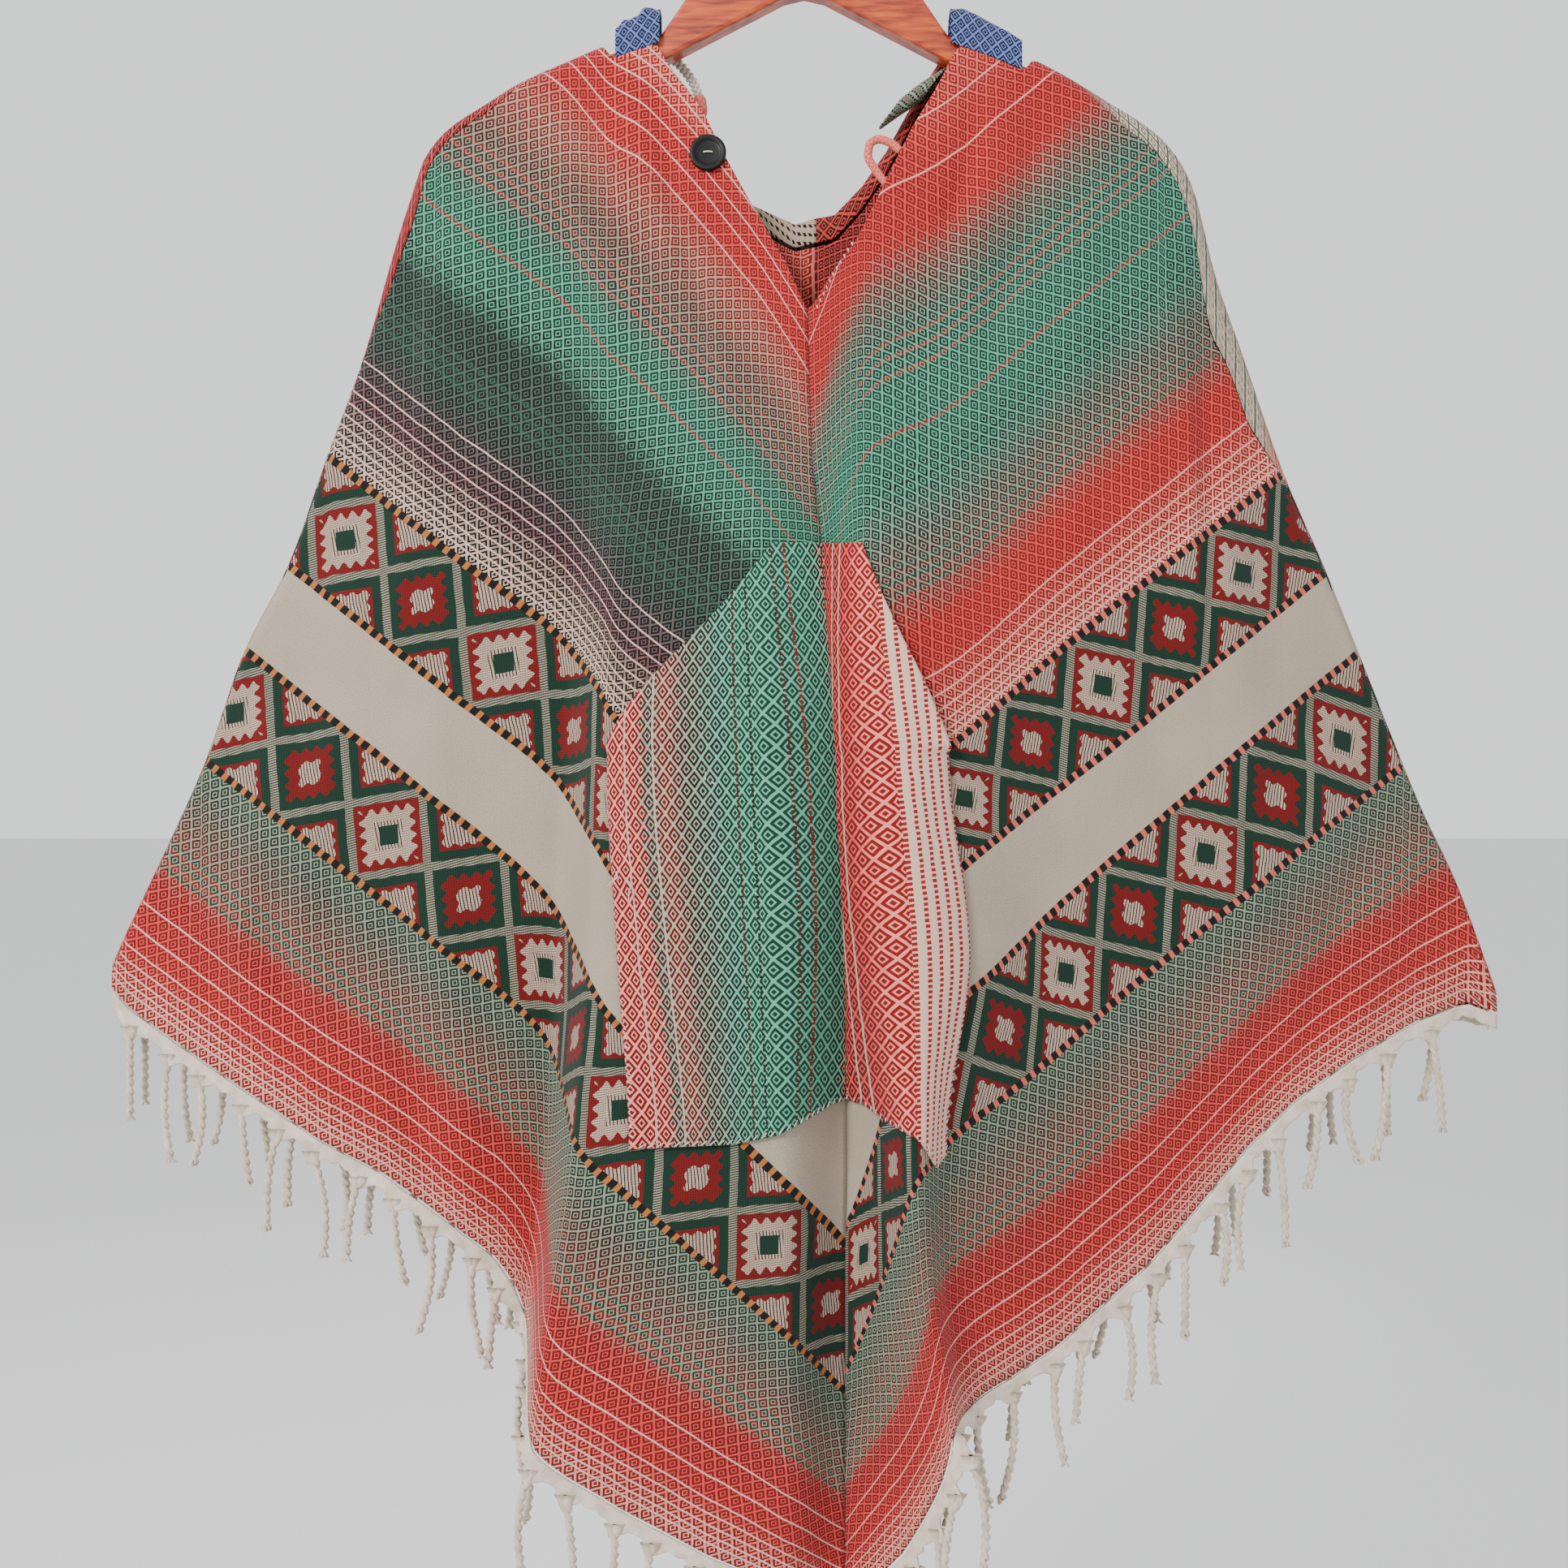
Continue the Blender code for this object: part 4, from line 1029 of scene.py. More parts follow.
# %% A tube along a path
def tube_object(name, path, radii, sides=12, ply=None):
    """A closed round tube; ply = (count, spread, lay) winds several strands round the path."""
    path = np.array(path, float)
    fine = np.linspace(0, len(path) - 1, 60 if ply else 40)
    stations = np.arange(len(path))
    line = np.stack([smooth(fine, stations, path[:, axis]) for axis in range(3)], axis=-1)
    radii = np.interp(fine, np.linspace(0, len(path) - 1, len(radii)), radii)
    ahead = np.gradient(line, axis=0)
    ahead /= np.linalg.norm(ahead, axis=1, keepdims=True)
    side = np.cross(ahead, (0.0, 1.0, 0.0))
    side /= np.linalg.norm(side, axis=1, keepdims=True)
    front = np.cross(side, ahead)
    along = np.concatenate([[0.0], np.cumsum(np.linalg.norm(np.diff(line, axis=0), axis=1))])
    bm = bmesh.new()
    layer = bm.loops.layers.uv.new("rows")
    count, spread, lay = ply or (1, 0.0, 1.0)
    for strand in range(count):
        turn = 2 * math.pi * (along / lay + strand / count)
        middle = line + spread * (np.sin(turn)[:, None] * side + 0.55 * np.sin(2 * turn)[:, None] * front)
        rings = []
        for ring in range(len(fine)):
            ring_verts = []
            for step in range(sides):
                angle = 2 * math.pi * step / sides
                reach = radii[ring] * (math.cos(angle) * side[ring] + math.sin(angle) * front[ring])
                ring_verts.append(bm.verts.new((middle[ring] + reach) * MM))
            rings.append(ring_verts)
        for ring in range(len(rings) - 1):
            for step in range(sides):
                following = (step + 1) % sides
                corners = (rings[ring][step], rings[ring][following])
                corners += (rings[ring + 1][following], rings[ring + 1][step])
                face = bm.faces.new(corners)
                places = ((ring, step), (ring, step + 1), (ring + 1, step + 1), (ring + 1, step))
                for loop, (at, turned) in zip(face.loops, places):
                    loop[layer].uv = (along[at] * MM, turned / sides * 2 * math.pi * radii[at] * MM)
        bm.faces.new(rings[0])
        bm.faces.new(rings[-1])
    bmesh.ops.recalc_face_normals(bm, faces=bm.faces)
    mesh = bpy.data.meshes.new(name)
    bm.to_mesh(mesh)
    bm.free()
    mesh.polygons.foreach_set("use_smooth", np.ones(len(mesh.polygons), bool))
    made = bpy.data.objects.new(name, mesh)
    bpy.context.scene.collection.objects.link(made)
    print(name, round(float(along[-1]), 1), "mm long")
    return made


# %% The button loop
foot = front_point(np.array([57.0]), np.array([236.0]))[0] / MM
behind = foot[1] + WALL / 2 + GAP + 3.4
LOOP_PATH = ((2.0, 4.0), (-6.0, 14.0), (-11.5, 24.0), (-10.5, 31.0), (-4.5, 34.5), (3.0, 32.0), (9.0, 27.0))
loop_path = [(foot[0] + across, behind, foot[2] + rise) for across, rise in LOOP_PATH]
loop = tube_object("button_loop_cloth", loop_path, (2.6, 2.7, 2.6))
finish_piece(loop, "red_cotton", "button_loop")

# %% The drawcord and its tip
CORD_PATH = (
    (-90.7, 14.6, -140.0),
    (-84.0, 14.8, -142.5),
    (-77.0, 14.6, -149.5),
    (-71.5, 14.0, -158.0),
    (-68.4, 13.6, -166.0),
    (-67.6, 13.3, -171.0),
)
TIP_PATH = ((-68.3, 13.5, -166.5), (-67.6, 13.3, -169.0), (-66.6, 13.0, -176.0), (-66.2, 12.9, -181.0))
cord = tube_object("drawcord_plait", CORD_PATH, (1.6, 1.6), 9, (3, 1.9, 11.0))
tip = tube_object("drawcord_tip_cloth", TIP_PATH, (3.4, 4.2, 4.1, 2.6))
finish_piece(cord, "cream_cotton", "drawcord")
finish_piece(tip, "red_cotton", "drawcord_tip")

# %% The end of the casing
CASING_RINGS = (
    (84.0, 2.6, -162.0, 12.5, 4.6),
    (76.0, 3.0, -167.0, 14.0, 4.8),
    (66.0, 3.4, -173.5, 14.0, 5.0),
    (56.0, 3.6, -181.0, 12.5, 5.4),
)


def make_casing():
    """A flattened tube whose edges meet in a seam at the back."""
    rings = np.array(CASING_RINGS)
    fine = np.linspace(0, len(rings) - 1, 26)
    table = np.stack([smooth(fine, np.arange(len(rings)), rings[:, part]) for part in range(5)], axis=-1)
    turns = np.linspace(0.52 * math.pi, 2.48 * math.pi, 60)
    grid = []
    for x, y, up, wide, deep in table:
        along = wide * np.cos(turns)
        crumple = 0.35 * np.sin(turns * 5.0 + x * 0.5)
        depth = y + (deep + crumple) * np.sin(turns)
        grid.append(np.stack([x + along * 0.62, depth, up + along * 0.78], axis=-1))
    grid = np.array(grid) * MM
    flat = np.stack(np.meshgrid(turns * 11.0 * MM, fine * 11.5 * MM), axis=-1)
    made = sheet_object("hood_casing_cloth", grid, flat, 1.2)
    apply_modifiers(made)
    return finish_piece(made, "pocket_cotton", "hood_casing")


casing = make_casing()

# %% The button
seat_place = np.array([-64.0])
seat_drop = np.array([213.0])
seat = front_point(seat_place, seat_drop, WALL / 2 + GAP)[0]
outward = front_point(seat_place, seat_drop, 3.0)[0] - front_point(seat_place, seat_drop, 1.0)[0]
outward /= np.linalg.norm(outward)
BUTTON_WIDE = 11.5
BUTTON_THICK = 3.4
facing = Vector(outward)
turned = facing.to_track_quat("Z", "Y").to_euler()
bpy.ops.mesh.primitive_cylinder_add(
    vertices=64,
    radius=BUTTON_WIDE * MM,
    depth=BUTTON_THICK * MM,
    location=Vector(seat) + facing * BUTTON_THICK / 2 * MM,
    rotation=turned,
)
button = bpy.context.active_object
button.name = "button_disc"
bpy.ops.object.transform_apply(location=True, rotation=True, scale=True)
bpy.ops.object.mode_set(mode="EDIT")
bpy.ops.mesh.select_mode(type="FACE")
bpy.ops.mesh.select_all(action="DESELECT")
bpy.ops.object.mode_set(mode="OBJECT")
for face in button.data.polygons:
    face.select = face.normal.dot(facing) > 0.9
bpy.ops.object.mode_set(mode="EDIT")
bpy.ops.mesh.inset(thickness=2.6 * MM)
bpy.ops.mesh.inset(thickness=1.4 * MM, depth=-1.0 * MM)
bpy.ops.object.mode_set(mode="OBJECT")
bevel = button.modifiers.new("Turned edges", "BEVEL")
bevel.width = 0.7 * MM
bevel.segments = 3
bevel.limit_method = "ANGLE"
bevel.angle_limit = math.radians(35)
bpy.ops.object.modifier_apply(modifier="Turned edges")
bpy.ops.object.shade_smooth_by_angle(angle=math.radians(40))
finish_piece(button, "black_button", "button")

across = np.cross(outward, (0.0, 0.0, 1.0))
across /= np.linalg.norm(across)
top = (seat + outward * (BUTTON_THICK - 0.6) * MM) / MM
bar = [top + across * reach + outward * (0.5 - 0.06 * reach**2) for reach in (-2.8, -1.4, 0.0, 1.4, 2.8)]
thread = tube_object("button_thread_yarn", bar, (0.5, 0.5), 8)
finish_piece(thread, "cream_cotton", "button_thread")
print("button faces", len(button.data.polygons))

# %% [markdown]
# ## How each sheet was cut
# Each cloth piece was cut flat before it was sewn and hung, and cloth folds but hardly stretches. The
# cuts are not stated in this script.

# %% Cuts
print("cuts: none stated")

# %% [markdown]
# ## Seam stitches and loose threads
# The pocket was sewn on with pale thread over its raw edge, and the right neck edge has a row of white
# stitches. Stitches are short bars of thread laid across an edge at an even pitch, all in one mesh. A few
# threads were left loose, as on the real garment.

# %% Stitches
def stitch_row(name, edge, inner, pitch, radius):
    """Short bars of thread from points of an edge to the points beside it, at an even pitch."""
    edge = np.array(edge)
    inner = np.array(inner)
    along = np.concatenate([[0.0], np.cumsum(np.linalg.norm(np.diff(edge, axis=0), axis=1))])
    bm = bmesh.new()
    for at in np.arange(pitch, along[-1] - pitch / 2, pitch):
        start = np.array([np.interp(at, along, edge[:, axis]) for axis in range(3)])
        end = np.array([np.interp(at + pitch * 0.35, along, inner[:, axis]) for axis in range(3)])
        ahead = Vector(end - start)
        turned = ahead.to_track_quat("Z", "Y").to_matrix().to_4x4()
        turned.translation = Vector((start + end) / 2)
        bmesh.ops.create_cone(
            bm,
            cap_ends=True,
            segments=6,
            radius1=radius,
            radius2=radius * 0.8,
            depth=ahead.length,
            matrix=turned,
        )
    mesh = bpy.data.meshes.new(name)
    bm.to_mesh(mesh)
    bm.free()
    mesh.polygons.foreach_set("use_smooth", np.ones(len(mesh.polygons), bool))
    made = bpy.data.objects.new(name, mesh)
    bpy.context.scene.collection.objects.link(made)
    print(name, len(mesh.polygons) // 8, "stitches")
    return finish_piece(made, "cream_cotton")


def pocket_line(side, inset):
    """Points along one edge of the pocket: its left or right side below the hand, or its foot."""
    drops = np.linspace(SLANT_END, 1000.0, 90)
    if side == "foot":
        places = np.linspace(POCKET_SPAN[0] + inset, POCKET_SPAN[1] - inset, 120)
        return front_point(places, on_line(places, POCKET_BOTTOM) - inset, WALL * 1.5 + GAP + 0.8)
    end = POCKET_SPAN[0] + inset if side == "left" else POCKET_SPAN[1] - inset
    foot = on_line(np.array([end]), POCKET_BOTTOM)[0] - 2.0
    drops = drops[drops < foot]
    return front_point(np.full(len(drops), end), drops, WALL * 1.5 + GAP + 0.8)


POCKET_PITCH = 5.2
POCKET_THREAD = 0.42
stitches = []
for side in ("left", "right", "foot"):
    edge = pocket_line(side, 0.5)
    inner = pocket_line(side, 3.2)
    stitches.append(stitch_row("pocket_stitches_" + side, edge, inner, POCKET_PITCH * MM, POCKET_THREAD * MM))
neck_places = np.linspace(4.0, 34.0, 40)
neck_drops = on_line(neck_places, NECK_LINE)
stitches.append(
    stitch_row(
        "neck_stitches",
        front_point(neck_places, neck_drops + 2.0, WALL / 2 + 0.3),
        front_point(neck_places, neck_drops + 5.4, WALL / 2 + 0.3),
        4.6 * MM,
        0.5 * MM,
    )
)

# %% Loose threads
# Root as x and drop, then how far the thread drifts and falls, in mm
LOOSE_THREADS = (
    (-62.0, 606.0, -7.0, 16.0),
    (-60.0, 612.0, 5.0, 11.0),
    (-100.0, 672.0, 4.0, 13.0),
    (-106.0, 668.0, -3.0, 9.0),
)
LOOSE_OUT = WALL * 1.5 + GAP + POCKET_SLACK * 0.75
loose = []
for number, (place, drop, across, fall) in enumerate(LOOSE_THREADS):
    root = front_point(np.array([place]), np.array([drop]), LOOSE_OUT)[0] / MM
    path = []
    for share in (0.0, 0.35, 0.7, 1.0):
        drift = across * share + 2.0 * math.sin(5.0 * share)
        path.append(root + np.array([drift, -1.0, -fall * share]))
    loose.append(tube_object("loose_thread_%d" % number, path, (0.4, 0.3), 6))
for piece in loose:
    finish_piece(piece, "cream_cotton")

# %% [markdown]
# ## Helpers for woven patterns
# A woven pattern is simple arithmetic on two numbers: how far along the row a thread is, and how far
# across. Math nodes do that arithmetic, and a small class lets the cells below write it as plain sums, so
# the pattern can be read. Colours are given as they look on a screen and turned into light values.

# %% Arithmetic on shader sockets
class Field:
    """A number that varies over the cloth; sums of Fields add Math nodes."""

    def __init__(self, tree, socket):
        self.tree = tree
        self.socket = socket

    def join(self, operation, *others):
        node = self.tree.nodes.new("ShaderNodeMath")
        node.operation = operation
        self.tree.links.new(self.socket, node.inputs[0])
        for number, other in enumerate(others, 1):
            if isinstance(other, Field):
                self.tree.links.new(other.socket, node.inputs[number])
            else:
                node.inputs[number].default_value = other
        return Field(self.tree, node.outputs[0])

    def __add__(self, other):
        return self.join("ADD", other)

    def __sub__(self, other):
        return self.join("SUBTRACT", other)

    def __mul__(self, other):
        return self.join("MULTIPLY", other)

    def __truediv__(self, other):
        return self.join("DIVIDE", other)

    def above(self, other):
        return self.join("GREATER_THAN", other)

    def below(self, other):
        return self.join("LESS_THAN", other)

    def near(self, place, reach):
        return self.join("COMPARE", place, reach)

    def largest(self, other):
        return self.join("MAXIMUM", other)

    def size(self):
        return self.join("ABSOLUTE")

    def part(self):
        return self.join("FRACT")

    def wave(self):
        return self.join("SINE")


# Cloth lit from all sides looks paler than its yarn, so the dyes are taken stronger and deeper
DYE_STRENGTH = 1.12
DYE_DEPTH = 1.8


def light(red, green, blue):
    """A screen colour from 0 to 255 as the light values that a shader takes, a little stronger."""
    values = []
    for value in (red, green, blue):
        share = value / 255.0
        level = share / 12.92 if share <= 0.04045 else ((share + 0.055) / 1.055) ** 2.4
        values.append(level**DYE_DEPTH)
    middle = sum(values) / 3.0
    return (*(max(0.002, 0.85 * (middle + (value - middle) * DYE_STRENGTH)) for value in values), 1.0)


def blend(tree, share, first, second):
    """The first colour where share is 0 and the second where it is 1."""
    node = tree.nodes.new("ShaderNodeMix")
    node.data_type = "RGBA"
    tree.links.new(share.socket, node.inputs["Factor"])
    for socket, colour in ((node.inputs[6], first), (node.inputs[7], second)):
        if isinstance(colour, tuple):
            socket.default_value = colour
        else:
            tree.links.new(colour, socket)
    return node.outputs[2]


def ramp(tree, value, low, high, stops):
    """Colours that change with a value: stops are (value, colour)."""
    node = tree.nodes.new("ShaderNodeValToRGB")
    spread = (value - low) / (high - low)
    tree.links.new(spread.socket, node.inputs["Fac"])
    elements = node.color_ramp.elements
    while len(elements) < len(stops):
        elements.new(0.5)
    for element, (place, colour) in zip(elements, stops):
        element.position = (place - low) / (high - low)
        element.color = colour
    return node.outputs["Color"]


def uneven(tree, vector, scale, detail=2.0):
    """Slow or fine noise between about 0.3 and 0.7."""
    node = tree.nodes.new("ShaderNodeTexNoise")
    node.inputs["Scale"].default_value = scale
    node.inputs["Detail"].default_value = detail
    tree.links.new(vector, node.inputs["Vector"])
    return Field(tree, node.outputs["Fac"])


def multiply(tree, share, colour, over):
    """The colour with a second one laid over it, multiplied in by a share."""
    node = tree.nodes.new("ShaderNodeMix")
    node.data_type = "RGBA"
    node.blend_type = "MULTIPLY"
    node.inputs["Factor"].default_value = share
    tree.links.new(colour, node.inputs[6])
    tree.links.new(over, node.inputs[7])
    return node.outputs[2]


def near_any(value, places, reach):
    """1 where the value is within reach of one of the places, 0 elsewhere."""
    found = value.near(places[0], reach)
    for at in places[1:]:
        found = found.largest(value.near(at, reach))
    return found


def row_place(tree):
    """The node of the UV layer "rows", and one that splits it into along the row and across it."""
    layer = tree.nodes.new("ShaderNodeUVMap")
    layer.uv_map = "rows"
    split = tree.nodes.new("ShaderNodeSeparateXYZ")
    tree.links.new(layer.outputs["UV"], split.inputs[0])
    return layer, split


def dress(piece, look):
    """Gives a piece one look and no other."""
    piece.data.materials.clear()
    piece.data.materials.append(look)


def new_look(name):
    look = bpy.data.materials.new(name)
    look.use_nodes = True
    tree = look.node_tree
    return look, tree, tree.nodes["Principled BSDF"]


def cloth_finish(tree, shader, colour, height, depth=0.35, strength=0.6, rough=0.9, sheen=0.06):
    """Links the colour and the relief of the threads to the shader."""
    tree.links.new(colour, shader.inputs["Base Color"])
    shader.inputs["Roughness"].default_value = rough
    shader.inputs["Specular IOR Level"].default_value = 0.25
    shader.inputs["Sheen Weight"].default_value = sheen
    shader.inputs["Sheen Roughness"].default_value = 0.5
    bump = tree.nodes.new("ShaderNodeBump")
    bump.inputs["Strength"].default_value = strength
    bump.inputs["Distance"].default_value = depth * MM
    tree.links.new(height.socket, bump.inputs["Height"])
    tree.links.new(bump.outputs["Normal"], shader.inputs["Normal"])


# %% [markdown]
# ## The woven pattern
# The cloth is a diamond twill: the weft floats over the warp in nested diamonds, about 9 mm wide. The
# yarn colours change in broad bands across the rows, and a few single light threads run along them. Two
# bands of bold squares are woven in thicker yarn between black and tan dashes, with a plain cream band in
# between. All of it is counted from two numbers, u along the row and v across it.

# %% Yarn colours
CREAM = light(206, 194, 180)
PALE = light(232, 216, 204)
TEAL = light(30, 108, 92)
DEEP_TEAL = light(20, 66, 60)
MINT = light(150, 200, 182)
SAGE = light(182, 188, 174)
DUSK = light(78, 84, 80)
RED = light(170, 18, 36)
CRIMSON = light(150, 10, 30)
DARK_RED = light(96, 8, 20)
PLUM = light(134, 46, 54)
PINK = light(228, 134, 132)
CORAL = light(190, 48, 58)
SALMON = light(240, 184, 174)
BLACK = light(20, 8, 10)
SLATE = light(128, 146, 138)
MAUVE = light(160, 128, 132)
MAROON = light(40, 10, 16)
TAN = light(206, 160, 122)

# %% Bands of yarn: v across the rows, ground yarn, outline yarn
LEFT_BANDS = (
    (-360, CORAL, PALE),
    (-322, CORAL, SALMON),
    (-308, RED, PINK),
    (-276, RED, PINK),
    (-250, RED, CREAM),
    (-222, PLUM, SAGE),
    (-200, DUSK, SAGE),
    (-180, TEAL, MINT),
    (-142, TEAL, MINT),
    (-124, DEEP_TEAL, SLATE),
    (-100, BLACK, SLATE),
    (-78, BLACK, SLATE),
    (-40, MAROON, MAUVE),
    (-16, BLACK, CREAM),
    (0, BLACK, PALE),
    (198, TEAL, SAGE),
    (216, DUSK, SAGE),
    (240, PLUM, SAGE),
    (262, RED, SAGE),
    (276, CRIMSON, PINK),
    (318, RED, PINK),
    (335, RED, SALMON),
    (360, RED, PALE),
)
RIGHT_BANDS = (
    (-360, CORAL, SALMON),
    (-300, RED, PINK),
    (-262, RED, PINK),
    (-240, PLUM, SAGE),
    (-214, DUSK, MINT),
    (-186, TEAL, MINT),
    (-138, TEAL, MINT),
    (-112, DUSK, SAGE),
    (-92, PLUM, SAGE),
    (-66, RED, PINK),
    (-45, RED, PINK),
    (-20, RED, SALMON),
    (0, CORAL, PALE),
    (198, TEAL, SAGE),
    (216, DUSK, SAGE),
    (240, PLUM, SAGE),
    (262, RED, SAGE),
    (276, CRIMSON, PINK),
    (318, RED, PINK),
    (335, RED, SALMON),
    (360, RED, PALE),
)
# The backs: only their edges show in front, dark red at the left and cream with black at the right
LEFT_BACK_BANDS = (
    (-360, CORAL, SALMON),
    (-300, CORAL, SALMON),
    (-250, DARK_RED, PINK),
    (-170, DARK_RED, PINK),
    (-90, MAROON, PINK),
    (-20, BLACK, CREAM),
) + LEFT_BANDS[14:]
RIGHT_BACK_BANDS = (
    (-360, DARK_RED, PINK),
    (-280, DARK_RED, PINK),
    (-250, PALE, SLATE),
    (-60, PALE, SLATE),
    (-20, CRIMSON, SALMON),
) + RIGHT_BANDS[12:]

# %% Single light threads along the rows, and rows of dots in another yarn
LEFT_THREADS = (-346, -338, -330, -322, -312, -300, -288, -272, -62, -52, -43, -35, -28, -21.5, -16, -11, -7)
RIGHT_THREADS = (-318, -290, -40, -29, -21, -14.5, -9.5, -5.5)
HEM_THREADS = (291, 306, 318, 325.5, 331.5, 336.5, 340.5)
RED_DOT_ROWS = (-213, -205, -196, -166)
BLACK_DOT_ROWS = (-147, -140, -133)
TEAL_DOT_ROWS = (-100, -93, -86, 252, 259, 266)

# %% Nested diamonds
DIAMOND = 9.5
THREAD = 0.85


def diamonds(u, v, size=DIAMOND):
    """How far each point is from the middle of its diamond: 0 at the middle, 1 at the outline."""
    rising = ((u * 1.1 + v * 0.9) / size).part() - 0.5
    falling = ((u * 1.1 - v * 0.9) / size).part() - 0.5
    return rising.size().largest(falling.size()) * 2.0


def twill(tree, u, v, ground, outline, size=DIAMOND):
    """Colour and height of the diamond twill."""
    away = diamonds(u, v, size)
    edge = away.above(0.82)
    ring = away.above(0.26) * away.below(0.46)
    pale = edge.largest(ring)
    colour = blend(tree, pale, ground, outline)
    ticks = (((u - v) * (2 * math.pi / THREAD)).wave() * 0.5) + 0.5
    height = pale * 0.6 + ticks * 0.4
    return colour, height


# %% The bold squares
CELL = 65.0
HALF_CELL = CELL / 2
BAND_HEIGHT = 66.0
SCALLOP = 7.6
BEAD = 2.1


def bold_squares(tree, u, h, first_a):
    """Colour of a band of squares; h is the distance from the band's middle line."""
    turn = (u - first_a) / CELL + 0.5
    along = (turn.part() - 0.5) * CELL
    kind = ((turn.join("FLOOR") / 2.0).part()).above(0.25)
    reach = along.size() + h.size()
    side = along.size() - h.size()
    teeth = (side * (2 * math.pi / SCALLOP / math.sqrt(2.0))).wave()
    fleck = ((u * 1.3 + h) * (2 * math.pi / 2.2)).wave().above(0.55)
    fleck_cream = blend(tree, fleck, PALE, light(176, 168, 158))
    dark_fleck = ((u * 0.8 - h) * (2 * math.pi / 2.6)).wave().above(0.45)
    fleck_dark = blend(tree, dark_fleck, PALE, light(104, 98, 92))
    # full squares, red frame with a pale star, or teal frame with a red ring
    star = blend(tree, reach.above(teeth * 2.8 + 22.0), fleck_cream, RED)
    star = blend(tree, reach.below(12.5), star, fleck_dark)
    star = blend(tree, reach.below(8.4), star, TEAL)
    ring = blend(tree, reach.above(teeth * 2.2 + 20.5), RED, TEAL)
    ring = blend(tree, reach.below(teeth * 1.2 + 9.6), ring, fleck_dark)
    square = blend(tree, kind, star, ring)
    # half squares at the band's edges
    inner = reach * -1.0 + CELL
    half = blend(tree, inner.above(teeth * 1.4 + 17.0), fleck_dark, RED)
    half = blend(tree, inner.above(20.8), half, TEAL)
    colour = blend(tree, reach.above(HALF_CELL), square, half)
    # hatched borders between the squares
    border = (reach - HALF_CELL).size().below(3.6)
    hatch = ((u * 1.6 + h * 1.2) * (2 * math.pi / 3.0)).wave().above(0.1)
    border_colour = blend(tree, hatch, light(206, 198, 186), light(112, 128, 118))
    colour = blend(tree, border, colour, border_colour)
    # thick yarn: beads in rows, with painted shade darkening the hollows between them
    turns = 2 * math.pi / BEAD
    bead = (((u - h) * turns).wave() + ((u + h) * turns).wave()) * 0.25 + 0.5
    painted_bead_shade = blend(tree, bead, light(150, 150, 150), light(255, 255, 255))
    return multiply(tree, 0.55, colour, painted_bead_shade), bead


# %% The whole woven look of a panel
DASH_LINES = (0.0, 69.0, 127.0, 198.0)
DASH_HALF = 2.5
DASH_PITCH = 8.2


def woven_look(name, bands, threads, first_a, second_a, gap_colour, thread_colour, dots=True):
    look, tree, shader = new_look(name)
    place, parts = row_place(tree)
    wobble = uneven(tree, place.outputs["UV"], 90.0) - 0.5
    u = Field(tree, parts.outputs["X"]) * 1000.0 + wobble * 1.6
    v = Field(tree, parts.outputs["Y"]) * 1000.0 + (uneven(tree, place.outputs["UV"], 60.0) - 0.5) * 1.6
    low, high = -360.0, 360.0
    mottled = v + (uneven(tree, place.outputs["UV"], 260.0, 1.0) - 0.5) * 26.0
    ground = ramp(tree, mottled, low, high, [(at, colour) for at, colour, _ in bands])
    outline = ramp(tree, mottled, low, high, [(at, colour) for at, _, colour in bands])
    if dots:
        for rows, colour in ((RED_DOT_ROWS, RED), (BLACK_DOT_ROWS, BLACK), (TEAL_DOT_ROWS, TEAL)):
            ground = blend(tree, near_any(v, rows, 1.3), ground, colour)
    colour, height = twill(tree, u, v, ground, outline)
    found = near_any(v, threads + HEM_THREADS, 0.5)
    colour = blend(tree, found, colour, thread_colour)
    height = height + found * 0.5
    # plain cream band
    linen = uneven(tree, place.outputs["UV"], 1500.0, 1.0)
    cream = blend(tree, linen, light(176, 168, 156), light(228, 220, 208))
    colour = blend(tree, v.near((DASH_LINES[1] + DASH_LINES[2]) / 2, 29.0), colour, cream)
    # two bands of squares
    for start, end, phase in ((0.0, 69.0, first_a), (127.0, 198.0, second_a)):
        middle = (start + end) / 2
        h = (v - middle) * (BAND_HEIGHT / (end - start))
        bold, bead = bold_squares(tree, u, h, phase)
        inside = v.near(middle, (end - start) / 2)
        colour = blend(tree, inside, colour, bold)
        height = height * (inside * -1.0 + 1.0) + inside * bead * 1.6
    # black and tan dashes
    dash = near_any(v, DASH_LINES, DASH_HALF)
    block = (u / DASH_PITCH).part().below(0.58)
    colour = blend(tree, dash, colour, blend(tree, block, gap_colour, BLACK))
    height = height + dash * block
    fade = uneven(tree, place.outputs["UV"], 14.0)
    wear = blend(tree, fade, light(215, 212, 210), light(255, 255, 255))
    cloth_finish(tree, shader, multiply(tree, 0.5, colour, wear), height)
    print(name, len(tree.nodes), "nodes")
    return look


front_left_look = woven_look(
    "weave_front_left", LEFT_BANDS, LEFT_THREADS, 56.0, 67.8, TAN, light(238, 214, 208)
)
front_right_look = woven_look(
    "weave_front_right", RIGHT_BANDS, RIGHT_THREADS, 53.4, 62.5, light(222, 158, 146), light(244, 204, 196)
)
back_left_look = woven_look(
    "weave_back_left", LEFT_BACK_BANDS, LEFT_THREADS[8:], 56.0, 67.8, TAN, light(238, 214, 208), False
)
back_right_look = woven_look(
    "weave_back_right", RIGHT_BACK_BANDS, RIGHT_THREADS[2:], 53.4, 62.5, TAN, light(236, 214, 206), False
)
for piece, look in (
    (front_left, front_left_look),
    (front_right, front_right_look),
    (back_left, back_left_look),
    (back_right, back_right_look),
):
    dress(piece, look)

